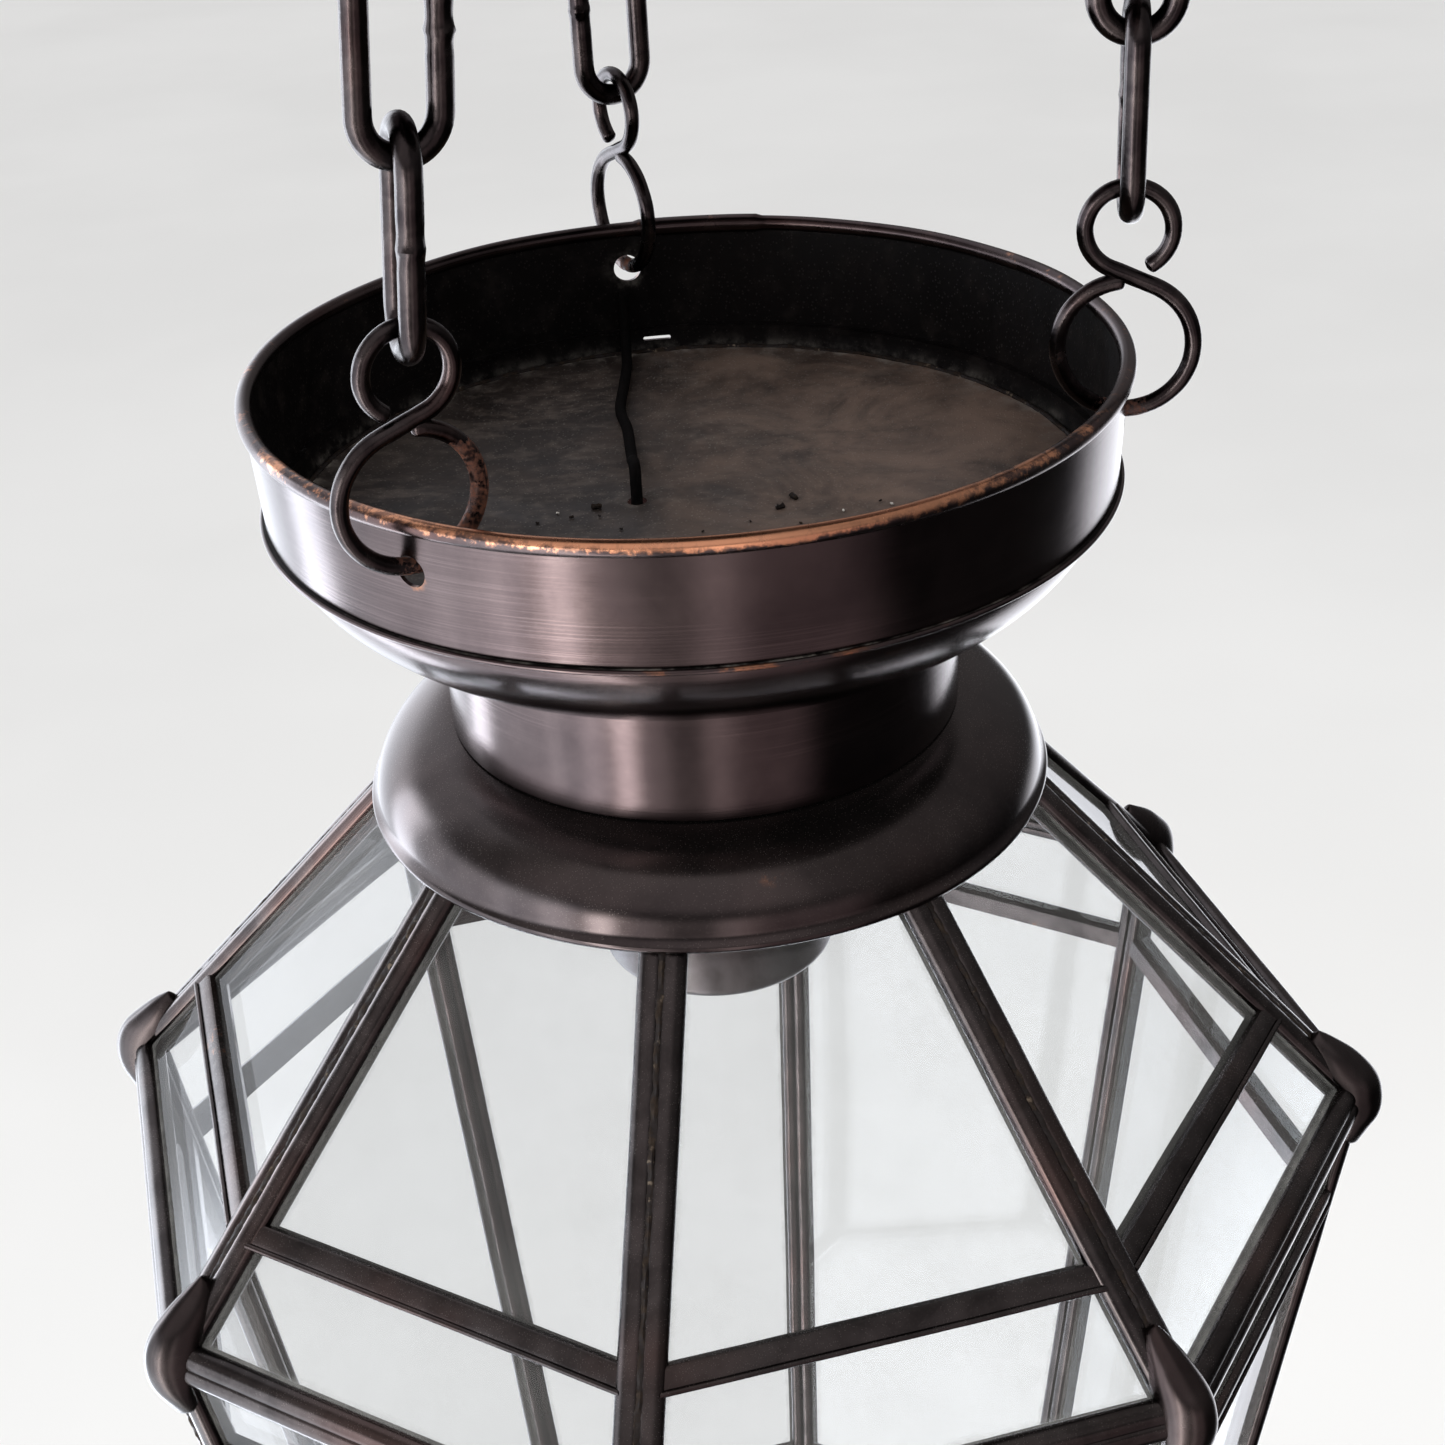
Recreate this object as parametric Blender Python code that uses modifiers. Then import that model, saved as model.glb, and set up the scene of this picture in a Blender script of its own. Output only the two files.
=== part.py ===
"""Eight-sided hanging lantern: a glass cage under an open pan that hangs on three chains.

Metres, +Z up. The origin is the middle of the ceiling plate's top face, so everything hangs below it.
"""
import math

import bmesh
import bpy
from mathutils import Matrix, Vector

# ---- driving dimensions -------------------------------------------------------------------------
GAP = 0.0003                     # air between pieces that touch
RIM_RADIUS = 0.095               # outside of the pan's rolled rim
HOOK_AZIMUTHS = {"left": -125.0, "back": 98.0, "right": -13.0}
FACE_COUNT = 8
CAGE_TURN = math.radians(-9.2)   # turn of the cage's first corner from +X
SLICES = 40                      # sides of a turned shape

PLATE_RADIUS = 0.108
PLATE_THICKNESS = 0.003
PLATE_LIP = 0.004
SCREW_HOLE_RADIUS = 0.0024
SCREW_CIRCLE = 0.045

HOOK_WIRE = 0.00225              # wire radii
LINK_WIRE = 0.0025
S_WIRE = 0.00175
LINK_LENGTH = 0.045              # outside sizes of a link
LINK_WIDTH = 0.020
CONTACT = 0.0005                 # play between the loops of the chain
CEILING_HOOK_DROP = 0.026        # plate top to the middle of the hook's lowest wire
CEILING_HOOK_BEND = 0.0085
S_UPPER = 0.00875                # centre-line radii of the S-hook's loops
S_LOWER = 0.01375
S_NECK = 0.002
LEFT_LEAN = 0.010                # sideways lean of the left chain over its height
# turns about the vertical of the S-hooks and upper links, and of the lower links
S_TURNS = {"left": 206.0, "back": 117.0, "right": -8.0}
LOWER_LINK_TURNS = {"left": 285.0, "back": 207.0, "right": 82.0}

RIM_WIRE = 0.0018
WALL_THICKNESS = 0.0009
WALL_TOP_RADIUS = RIM_RADIUS - 0.0012
WALL_FOOT_RADIUS = 0.0924
HOOK_HOLE_DEPTH = 0.0085         # hook wire below the rim's middle
HOOK_HOLE_RADIUS = 0.0033
LIP_RADIUS = 0.0936
LIP_DEPTH = 0.0250               # depths below the rim's middle
LIP_THICKNESS = 0.0012
LIP_STEP = 0.0030                # the dish starts this far inside the lip's edge
FLOOR_DEPTH = 0.0300
FLOOR_THICKNESS = 0.0008
DISH_DEPTH = 0.0519
DISH_WALL = 0.0009
DISH_CURVE = 1.25                # 1 would be a quarter ellipse; more is flatter
CORD_SLOT = (0.012, 0.0078, 0.0018)
SLOT_AZIMUTH = math.radians(94.2)
NECK_RADIUS = 0.0580
NECK_FOOT_DEPTH = 0.0800
NECK_WALL = 0.0010
COLLAR_RADIUS = 0.0785
COLLAR_DEPTH = 0.0984
FLOOR_HOLE = Vector((-0.0122, -0.0032, 0.0))
FLOOR_HOLE_RADIUS = 0.0022
FLEX_RADIUS = 0.0013

ROOF_TOP_RADIUS = 0.0690         # corner radii and depths of the cage
ROOF_TOP_DEPTH = 0.0919
SHOULDER_RADIUS = 0.1580
SHOULDER_DEPTH = 0.1885
BASE_RADIUS = 0.1180
BASE_DEPTH = 0.4500
FRAME_THICKNESS = 0.0060
FRAME_LIP = 0.0022               # metal in front of the glass
CAME = 0.0061                    # width of one came
REBATE = 0.0025                  # how far the glass runs in behind the came
GLASS = 0.0030
ROOF_RAIL = 0.745                # places of the cross rails, as a share of the panel's slope
SIDE_RAIL = 0.122
RAIL_WIDTH = 0.0064
CAP_RADII = (0.0085, 0.0078, 0.0165)  # out, along the eaves and up the corner

CUP_RADIUS = 0.0279
CUP_FOOT_DEPTH = 0.1483
CUP_HEIGHT = 0.0430
CROSSBAR_DEPTH = 0.0760

DOOR_FACE = 6                    # the side that opens
DOOR_GAP = 0.0006
HINGE_STANDOFF = 0.0030
HINGE_BARREL = 0.0024
HINGE_PIN = 0.0012
BARREL_LENGTH = 0.012
HINGE_INSET = 0.030              # first knuckle from the door's end
PIN_OVERHANG = 0.0015
LEAF_REACH = 0.0052
DOOR_THICKNESS = 0.0056

# ---- heights worked out from those --------------------------------------------------------------
HALF_LINK = LINK_LENGTH / 2 - LINK_WIRE
HOOK_Z = -CEILING_HOOK_DROP
UPPER_LINK_TOP = HOOK_Z + HOOK_WIRE + LINK_WIRE + CONTACT
UPPER_LINK_FOOT = UPPER_LINK_TOP - 2 * HALF_LINK
LOWER_LINK_TOP = UPPER_LINK_FOOT + 2 * LINK_WIRE + CONTACT
LOWER_LINK_FOOT = LOWER_LINK_TOP - 2 * HALF_LINK
S_TOP = LOWER_LINK_FOOT + LINK_WIRE + S_WIRE + CONTACT
S_FOOT = S_TOP - 2 * S_UPPER - 2 * S_LOWER - S_NECK
RIM_Z = S_FOOT + HOOK_HOLE_DEPTH
HOOK_CIRCLE = (WALL_TOP_RADIUS + WALL_FOOT_RADIUS) / 2 - WALL_THICKNESS / 2

parts = bpy.data.collections.new("hanging_lantern")
guides = bpy.data.collections.new("cutters")


# ---- tools --------------------------------------------------------------------------------------
def clear_scene():
    for old in list(bpy.data.objects):
        bpy.data.objects.remove(old, do_unlink=True)
    bpy.context.scene.collection.children.link(parts)
    bpy.context.scene.collection.children.link(guides)


def make_material(name, colour, roughness, metallic, transmission=0.0):
    material = bpy.data.materials.new(name)
    material.use_nodes = True
    shader = material.node_tree.nodes["Principled BSDF"]
    shader.inputs["Base Color"].default_value = (*colour, 1.0)
    shader.inputs["Roughness"].default_value = roughness
    shader.inputs["Metallic"].default_value = metallic
    shader.inputs["Transmission Weight"].default_value = transmission
    return material


def add_object(name, data, material, place=Matrix.Identity(4)):
    piece = bpy.data.objects.new(name, data)
    piece.matrix_world = place
    if material is None:
        guides.objects.link(piece)
        piece.hide_render = True
        piece.display_type = "WIRE"
    else:
        parts.objects.link(piece)
        if not data.materials:
            data.materials.append(material)
    return piece


def turned(name, profile, material, slices=SLICES, turn=0.0, smooth=True, place=Matrix.Identity(4)):
    """A solid of revolution; the (radius, height) profile runs down its outer side."""
    mesh = bpy.data.meshes.new(name)
    count = len(profile)
    closed = profile[0][0] > 0.0
    edges = [(i, i + 1) for i in range(count - 1)]
    if closed:
        edges.append((count - 1, 0))
    mesh.from_pydata([(radius, 0.0, height) for radius, height in profile], edges, [])
    piece = add_object(name, mesh, material, place @ Matrix.Rotation(turn, 4, "Z"))
    screw = piece.modifiers.new("turn", "SCREW")
    screw.steps = slices
    screw.render_steps = slices
    screw.use_merge_vertices = True
    screw.merge_threshold = 0.00001
    screw.use_smooth_shade = smooth
    return piece


def wire(name, points, radius, material, cyclic=False, place=Matrix.Identity(4), resolution=2):
    """A round wire along a list of points."""
    curve = bpy.data.curves.new(name, "CURVE")
    curve.dimensions = "3D"
    curve.bevel_depth = radius
    curve.bevel_resolution = resolution
    curve.use_fill_caps = not cyclic
    spline = curve.splines.new("POLY")
    spline.points.add(len(points) - 1)
    for target, point in zip(spline.points, points):
        target.co = (*point, 1.0)
    spline.use_cyclic_u = cyclic
    return add_object(name, curve, material, place)


def boolean(piece, other, operation="DIFFERENCE"):
    change = piece.modifiers.new(operation.lower(), "BOOLEAN")
    change.operation = operation
    change.object = other
    return change


def adopt(name, place, material=None):
    """Names the primitive just added and moves it to its own collection; no material: a cutter."""
    piece = bpy.context.active_object
    piece.name = name
    for owner in list(piece.users_collection):
        owner.objects.unlink(piece)
    piece.matrix_world = place
    if material is None:
        guides.objects.link(piece)
        piece.hide_render = True
        piece.display_type = "WIRE"
    else:
        parts.objects.link(piece)
        piece.data.materials.append(material)
    return piece


def cylinder_cutter(name, radius, length, place, sides=16):
    bpy.ops.mesh.primitive_cylinder_add(vertices=sides, radius=radius, depth=length)
    return adopt(name, place)


def box(name, size, place, material=None):
    bpy.ops.mesh.primitive_cube_add(size=1.0)
    bpy.context.active_object.data.transform(Matrix.Diagonal((*size, 1.0)))
    return adopt(name, place, material)


def arc(centre, radius, start, stop, count):
    """Points (across, up) of an arc between two angles in degrees."""
    angles = [math.radians(start + (stop - start) * i / (count - 1)) for i in range(count)]
    return [(centre[0] + radius * math.cos(a), centre[1] + radius * math.sin(a)) for a in angles]


def upright(points, azimuth, at):
    """(across, up) points stood in the vertical plane that faces an azimuth in degrees."""
    ax, ay = math.cos(math.radians(azimuth)), math.sin(math.radians(azimuth))
    return [(at[0] + s * ax, at[1] + s * ay, at[2] + z) for s, z in points]


def smooth_path(knots, step):
    """Points a step apart on a smooth curve through the knots."""
    ends = [2 * knots[0] - knots[1]] + knots + [2 * knots[-1] - knots[-2]]
    path = []
    for i in range(len(knots) - 1):
        p0, p1, p2, p3 = ends[i:i + 4]
        count = max(1, round((p2 - p1).length / step))
        for j in range(count):
            t = j / count
            path.append(0.5 * (2 * p1 + (p2 - p0) * t + (2 * p0 - 5 * p1 + 4 * p2 - p3) * t ** 2
                               + (3 * p1 - p0 - 3 * p2 + p3) * t ** 3))
    return path + [knots[-1]]


# ---- suspension ---------------------------------------------------------------------------------
def hook_point(side):
    """Where the S-hook's wire goes through the pan wall."""
    angle = math.radians(HOOK_AZIMUTHS[side])
    return Vector((HOOK_CIRCLE * math.cos(angle), HOOK_CIRCLE * math.sin(angle), S_FOOT))


def chain_axis(side, height):
    """The point of a chain's straight line at a height; the left chain leans along X."""
    foot = hook_point(side)
    lean = LEFT_LEAN * (height - S_FOOT) / (HOOK_Z - S_FOOT) if side == "left" else 0.0
    return Vector((foot.x + lean, foot.y, height))


def chain_tilt(side):
    """Turns a vertical piece into the chain's own line."""
    return Vector((0, 0, 1)).rotation_difference(chain_axis(side, HOOK_Z) - hook_point(side))


def ceiling_plate(material):
    """A shallow round canopy with a turned-down lip and three screw holes."""
    inner = PLATE_RADIUS - PLATE_THICKNESS
    profile = [(0.0, 0.0), (PLATE_RADIUS, 0.0), (PLATE_RADIUS, -PLATE_THICKNESS - PLATE_LIP),
               (inner, -PLATE_THICKNESS - PLATE_LIP), (inner, -PLATE_THICKNESS),
               (0.0, -PLATE_THICKNESS)]
    plate = turned("ceiling_plate", profile, material, slices=40)
    for number in range(3):
        angle = math.radians(30 + 120 * number)
        place = Matrix.Translation((SCREW_CIRCLE * math.cos(angle), SCREW_CIRCLE * math.sin(angle), 0))
        boolean(plate, cylinder_cutter(f"screw_hole_{number}", SCREW_HOLE_RADIUS, 0.02, place))


def ceiling_hook(side, material):
    """A J of wire: the shank stands under the plate, the bend carries the upper link."""
    top = chain_axis(side, HOOK_Z)
    bend = [(s, z + CEILING_HOOK_BEND) for s, z in arc((0, 0), CEILING_HOOK_BEND, -180, 45, 12)]
    shank_top = -HOOK_Z - PLATE_THICKNESS - GAP
    shank = [(-CEILING_HOOK_BEND, shank_top), (-CEILING_HOOK_BEND, shank_top * 0.66)]
    wire(f"ceiling_hook_{side}", upright(shank + bend, S_TURNS[side] + 90, top), HOOK_WIRE, material)


def chain_link(side, name, foot, azimuth, material):
    """A long welded link: two straights and two half rounds."""
    bend = LINK_WIDTH / 2 - LINK_WIRE
    straight = HALF_LINK - bend
    outline = arc((0, straight), bend, 0, 180, 8) + arc((0, -straight), bend, 180, 360, 8)
    centre = chain_axis(side, foot + HALF_LINK)
    place = Matrix.Translation(centre) @ chain_tilt(side).to_matrix().to_4x4()
    wire(name, upright(outline, azimuth, (0, 0, 0)), LINK_WIRE, material, True, place)


def s_hook(side, material):
    """Two unequal loops joined by their common inside tangent."""
    distance = S_UPPER + S_LOWER + S_NECK
    tangent = math.degrees(math.acos((S_UPPER + S_LOWER) / distance))
    upper = arc((0, S_LOWER + distance), S_UPPER, -58, 270 - tangent, 15)
    lower = arc((0, S_LOWER), S_LOWER, 90 - tangent, -264, 20)
    place = Matrix.Translation(hook_point(side)) @ chain_tilt(side).to_matrix().to_4x4()
    wire(f"s_hook_{side}", upright(upper + lower, S_TURNS[side], (0, 0, 0)), S_WIRE, material,
         place=place)


def suspension(bronze, steel):
    ceiling_plate(bronze)
    for side, turn in S_TURNS.items():
        ceiling_hook(side, bronze)
        chain_link(side, f"chain_link_{side}_upper", UPPER_LINK_FOOT, turn, steel)
        chain_link(side, f"chain_link_{side}_lower", LOWER_LINK_FOOT, LOWER_LINK_TURNS[side], steel)
        s_hook(side, steel)


# ---- pan, neck and collar -----------------------------------------------------------------------
def dish_point(angle, inset):
    """A point of the dish's rounded underside, moved in by its wall."""
    inner = NECK_RADIUS + GAP
    across = LIP_RADIUS - LIP_STEP - inner - inset
    down = DISH_DEPTH - LIP_DEPTH - LIP_THICKNESS - inset
    height = RIM_Z - LIP_DEPTH - LIP_THICKNESS - down * math.sin(angle) ** DISH_CURVE
    return inner + across * max(0.0, math.cos(angle)) ** DISH_CURVE, height


def pan(bronze, dusty):
    top = RIM_Z - RIM_WIRE - GAP
    foot = RIM_Z - LIP_DEPTH + GAP
    centre = WALL_TOP_RADIUS - WALL_THICKNESS / 2
    rim = [(centre + s, RIM_Z + z) for s, z in arc((0, 0), RIM_WIRE, 90, -225, 8)]
    turned("pan_rim", rim, bronze, slices=48)
    wall = turned("pan_wall", [(WALL_TOP_RADIUS, top), (WALL_FOOT_RADIUS, foot),
                               (WALL_FOOT_RADIUS - WALL_THICKNESS, foot),
                               (WALL_TOP_RADIUS - WALL_THICKNESS, top)], bronze, slices=48)
    hole_drop = HOOK_HOLE_RADIUS - S_WIRE - CONTACT
    for side, azimuth in HOOK_AZIMUTHS.items():
        middle = hook_point(side) - Vector((0, 0, hole_drop))
        turn = Matrix.Rotation(math.radians(azimuth), 4, "Z") @ Matrix.Rotation(math.pi / 2, 4, "Y")
        place = Matrix.Translation(middle) @ turn
        boolean(wall, cylinder_cutter(f"hook_hole_{side}", HOOK_HOLE_RADIUS, 0.012, place, 12))

    steps = [math.radians(90 * i / 7) for i in range(8)]
    lip_top = RIM_Z - LIP_DEPTH
    outer = [(LIP_RADIUS, lip_top), (LIP_RADIUS, lip_top - LIP_THICKNESS)]
    outer += [dish_point(a, 0.0) for a in steps]
    inner = [dish_point(a, DISH_WALL) for a in reversed(steps)]
    dish = turned("pan_dish", outer + inner + [(inner[-1][0], lip_top)], bronze)
    middle = Matrix.Rotation(SLOT_AZIMUTH, 4, "Z") @ Vector((0.089, 0, RIM_Z - FLOOR_DEPTH + 0.0022))
    place = Matrix.Translation(middle) @ Matrix.Rotation(SLOT_AZIMUTH, 4, "Z")
    boolean(dish, box("cord_slot", CORD_SLOT, place))

    curve_top = LIP_DEPTH + LIP_THICKNESS
    drop = (FLOOR_DEPTH + FLOOR_THICKNESS - curve_top) / (DISH_DEPTH - curve_top - DISH_WALL)
    floor_radius = dish_point(math.asin(drop ** (1 / DISH_CURVE)), DISH_WALL)[0] - 2 * GAP
    floor = RIM_Z - FLOOR_DEPTH
    underside = floor - FLOOR_THICKNESS
    profile = [(0.0, floor), (floor_radius, floor), (floor_radius, underside), (0.0, underside)]
    disc = turned("pan_floor", profile, dusty, smooth=False)
    place = Matrix.Translation(FLOOR_HOLE + Vector((0, 0, floor)))
    boolean(disc, cylinder_cutter("flex_hole", FLOOR_HOLE_RADIUS, 0.01, place, 12))


def neck_and_collar(bronze, dusty):
    top = RIM_Z - DISH_DEPTH + 0.0040
    foot = RIM_Z - NECK_FOOT_DEPTH + GAP
    turned("neck", [(NECK_RADIUS, top), (NECK_RADIUS, foot), (NECK_RADIUS - NECK_WALL, foot),
                    (NECK_RADIUS - NECK_WALL, top)], bronze)
    start = NECK_RADIUS - 0.0030
    across = COLLAR_RADIUS - 0.0012 - start
    down = COLLAR_DEPTH - NECK_FOOT_DEPTH
    steps = [math.radians(90 * i / 7) for i in range(8)]
    thin = 0.0011

    def dome(angle, inset):
        height = RIM_Z - COLLAR_DEPTH + (down - inset) * math.cos(angle)
        return start + (across - inset) * math.sin(angle), height

    edge = [(COLLAR_RADIUS - 0.0012 + s, RIM_Z - COLLAR_DEPTH + z)
            for s, z in arc((0, 0), 0.0012, 35, -200, 5)]
    outer = [dome(a, 0.0) for a in steps[:-1]]
    inner = [dome(a, thin) for a in reversed(steps[:-1])]
    turned("collar", outer + edge + inner, dusty)


# ---- lampholder and flex ------------------------------------------------------------------------
def lampholder(bronze, ceramic, brass):
    bar_z = RIM_Z - CROSSBAR_DEPTH
    length = 2 * (NECK_RADIUS - NECK_WALL - 0.0008)
    place = Matrix.Translation((0, 0, bar_z))
    bar = box("lampholder_crossbar", (length, 0.016, 0.0025), place, bronze)
    boolean(bar, cylinder_cutter("tube_hole", 0.0053, 0.01, place, 16))

    cup_foot = RIM_Z - CUP_FOOT_DEPTH
    cup_top = cup_foot + CUP_HEIGHT
    tube_top = bar_z + 0.009
    tube_foot = cup_top - 0.006
    turned("lampholder_tube", [(0.0050, tube_top), (0.0050, tube_foot), (0.0036, tube_foot),
                               (0.0036, tube_top)], brass, slices=20)
    nut_foot = bar_z + 0.00125 + GAP
    turned("lampholder_nut", [(0.0098, nut_foot + 0.004), (0.0098, nut_foot), (0.0062, nut_foot),
                              (0.0062, nut_foot + 0.004)], brass, slices=6, smooth=False)
    wall = 0.0012
    crown = [(0.0053, cup_top), (CUP_RADIUS - 0.008, cup_top), (CUP_RADIUS - 0.002, cup_top - 0.003),
             (CUP_RADIUS, cup_top - 0.008), (CUP_RADIUS, cup_foot + 0.003),
             (CUP_RADIUS - 0.0009, cup_foot + 0.0009), (CUP_RADIUS - 0.003, cup_foot),
             (CUP_RADIUS - 0.003, cup_foot + wall), (CUP_RADIUS - wall, cup_foot + 0.0032),
             (CUP_RADIUS - wall, cup_top - 0.009), (CUP_RADIUS - 0.003, cup_top - 0.004),
             (CUP_RADIUS - 0.0085, cup_top - wall), (0.0053, cup_top - wall)]
    turned("lampholder_shell", crown, bronze, slices=28)
    block_top = tube_foot - GAP
    shelf = block_top - 0.010
    turned("lampholder_insulator", [(0.0, block_top), (0.0200, block_top), (0.0200, cup_foot + 0.006),
                                    (0.0162, cup_foot + 0.006), (0.0162, shelf), (0.0, shelf)],
           ceramic, slices=24)
    threads = 4
    shell_top, shell_foot = shelf - GAP - 0.0004, cup_foot + 0.0075
    outer, inner = [], []
    for i in range(2 * threads + 1):
        z = shell_top + (shell_foot - shell_top) * i / (2 * threads)
        swell = 0.0006 if i % 2 else 0.0
        outer.append((0.0151 + swell, z))
        inner.append((0.0141 + swell, z))
    turned("lampholder_screw_shell", outer + inner[::-1], brass, slices=20)
    turned("lampholder_contact", [(0.0, shelf - GAP), (0.0045, shelf - GAP), (0.0045, shelf - 0.0016),
                                  (0.0030, shelf - 0.0035), (0.0, shelf - 0.0040)], brass, slices=12)


def flex(black):
    """From the lampholder's tube, out of the hole in the floor, over it and up the back wall."""
    floor = RIM_Z - FLOOR_DEPTH + FLEX_RADIUS + 0.0002
    wall_x, wall_y = -0.0143, WALL_FOOT_RADIUS - WALL_THICKNESS - FLEX_RADIUS - 0.0018
    tube_top = RIM_Z - CROSSBAR_DEPTH + 0.009
    knots = [Vector((0.0, 0.0, tube_top - 0.012)), Vector((0.0, 0.0, tube_top + 0.002)),
             Vector((-0.0020, -0.0020, tube_top + 0.012)), Vector((-0.0090, -0.0044, floor - 0.020)),
             Vector((-0.0121, -0.0040, floor - 0.0075)), Vector((-0.0122, -0.0033, floor - 0.0012)),
             Vector((-0.0123, 0.0010, floor + 0.0032)), Vector((-0.0126, 0.0065, floor + 0.0030)),
             Vector((-0.0130, 0.0125, floor + 0.0008)), Vector((-0.0134, 0.0200, floor)),
             Vector((-0.0142, 0.0330, floor)), Vector((-0.0158, 0.0450, floor)),
             Vector((-0.0150, 0.0600, floor)), Vector((-0.0143, 0.0720, floor)),
             Vector((wall_x, wall_y - 0.0085, floor + 0.0003)),
             Vector((wall_x, wall_y - 0.0030, floor + 0.0028)),
             Vector((wall_x, wall_y - 0.0003, floor + 0.0085)),
             Vector((wall_x + 0.0003, wall_y, floor + 0.0135))]
    wire("flex", smooth_path(knots, 0.0030), FLEX_RADIUS, black)


# ---- the cage -----------------------------------------------------------------------------------
class Tier:
    """Eight flat panels between two levels of the cage."""

    def __init__(self, top_radius, top_depth, foot_radius, foot_depth):
        self.radii = (top_radius, foot_radius)
        self.levels = (RIM_Z - top_depth, RIM_Z - foot_depth)
        half = math.pi / FACE_COUNT
        self.apothems = [radius * math.cos(half) for radius in self.radii]
        self.halves = [radius * math.sin(half) for radius in self.radii]
        self.fall = self.levels[0] - self.levels[1]
        self.slope = math.hypot(self.apothems[1] - self.apothems[0], self.fall)
        self.edge_slant = math.cos(math.atan2(self.halves[1] - self.halves[0], self.slope))

    def half_width(self, down, margin):
        share = down / self.slope
        return self.halves[0] + (self.halves[1] - self.halves[0]) * share - margin / self.edge_slant

    def inset_radius(self, index, thickness):
        """The corner radius of the tier's inner face at one of its levels."""
        sideways = thickness * self.slope / self.fall
        return (self.apothems[index] - sideways) / math.cos(math.pi / FACE_COUNT)

    def place(self, face):
        """Axes of a panel: X along it, Y into the cage, Z up the slope, from its top edge."""
        azimuth = CAGE_TURN + (face + 0.5) * 2 * math.pi / FACE_COUNT
        outward = Vector((math.cos(azimuth), math.sin(azimuth), 0.0))
        along = Vector((-math.sin(azimuth), math.cos(azimuth), 0.0))
        run = self.apothems[0] - self.apothems[1]
        up = (outward * run + Vector((0, 0, self.fall))) / self.slope
        inward = up.cross(along)
        start = outward * self.apothems[0] + Vector((0, 0, self.levels[0]))
        turn = Matrix((along, inward, up)).transposed().to_4x4()
        return Matrix.Translation(start) @ turn

    def slab(self, target, face, spans, depths, margin):
        """Adds a flat trapezoid between two places down the slope and two depths."""
        cube = bmesh.ops.create_cube(target, size=1.0)["verts"]
        for vertex in cube:
            down = spans[0] if vertex.co.z > 0 else spans[1]
            side = math.copysign(self.half_width(down, margin), vertex.co.x)
            depth = depths[0] if vertex.co.y < 0 else depths[1]
            vertex.co = self.place(face) @ Vector((side, depth, -down))

    def shell(self, name, material, thickness=FRAME_THICKNESS):
        """The closed eight-sided ring that the windows are cut out of."""
        top, foot = self.levels[0] - GAP / 2, self.levels[1] + GAP / 2
        inner = [self.inset_radius(i, thickness) for i in (0, 1)]
        profile = [(self.radii[0], top), (self.radii[1], foot), (inner[1], foot), (inner[0], top)]
        return turned(name, profile, material, FACE_COUNT, CAGE_TURN, smooth=False)


def from_bmesh(name, shapes, material):
    mesh = bpy.data.meshes.new(name)
    bmesh.ops.recalc_face_normals(shapes, faces=shapes.faces)
    shapes.to_mesh(mesh)
    shapes.free()
    return add_object(name, mesh, material)


def frame_tier(name, tier, rail, material, door_face=None):
    """The soldered frame of one tier: rebates from inside, then the open lights."""
    rebates, lights = bmesh.new(), bmesh.new()
    rail_top = rail * tier.slope - RAIL_WIDTH / 2
    rail_foot = rail_top + RAIL_WIDTH
    back = FRAME_THICKNESS + 0.001
    for face in range(FACE_COUNT):
        last = rail_foot - 0.0015 if face == door_face else tier.slope - CAME + REBATE
        tier.slab(rebates, face, (CAME - REBATE, last), (FRAME_LIP, back), CAME - REBATE)
        tier.slab(lights, face, (CAME, rail_top), (-0.001, back), CAME)
        tier.slab(lights, face, (rail_foot, tier.slope - CAME), (-0.001, back), CAME)
    frame = tier.shell(name, material)
    boolean(frame, from_bmesh(f"{name}_rebates", rebates, None))
    boolean(frame, from_bmesh(f"{name}_lights", lights, None))
    return frame


def panes(prefix, tier, rail, glass, door_face=None):
    """One pane behind each panel's came; the door's panel keeps only the strip above the rail."""
    front = FRAME_LIP + GAP
    for face in range(FACE_COUNT):
        last = tier.slope - CAME + REBATE - GAP
        if face == door_face:
            last = rail * tier.slope + RAIL_WIDTH / 2 - 0.0015 - GAP
        shape = bmesh.new()
        margin = CAME - REBATE + GAP
        tier.slab(shape, face, (margin, last), (front, front + GLASS), margin)
        from_bmesh(f"{prefix}_{face + 1}", shape, glass)


def corner_caps(roof, side, bronze):
    """A drop-shaped cap over each shoulder corner, hollowed to sit on the frame."""
    clear = GAP / math.cos(math.pi / FACE_COUNT) * 1.2
    below = RIM_Z - BASE_DEPTH
    envelope = turned("cage_outline", [(0.0, roof.levels[0]), (roof.radii[0] + clear, roof.levels[0]),
                                       (SHOULDER_RADIUS + clear, roof.levels[1]),
                                       (BASE_RADIUS + clear, below), (0.0, below)],
                      None, FACE_COUNT, CAGE_TURN, smooth=False)
    hip = Vector((roof.radii[1] - roof.radii[0], -roof.fall)).normalized()
    post = Vector((side.radii[1] - side.radii[0], -side.fall)).normalized()
    lean = math.atan2((hip + post).x, -(hip + post).y)
    for corner in range(FACE_COUNT):
        bpy.ops.mesh.primitive_uv_sphere_add(segments=12, ring_count=8, radius=1.0)
        bpy.context.active_object.data.transform(Matrix.Diagonal((*CAP_RADII, 1.0)))
        bpy.context.active_object.data.shade_smooth()
        angle = CAGE_TURN + corner * 2 * math.pi / FACE_COUNT
        turn = Matrix.Rotation(angle, 4, "Z") @ Matrix.Rotation(-lean, 4, "Y")
        middle = Vector(((SHOULDER_RADIUS - 0.0035) * math.cos(angle),
                         (SHOULDER_RADIUS - 0.0035) * math.sin(angle), roof.levels[1]))
        cap = adopt(f"corner_cap_{corner + 1}", Matrix.Translation(middle) @ turn, bronze)
        boolean(cap, envelope)


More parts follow.
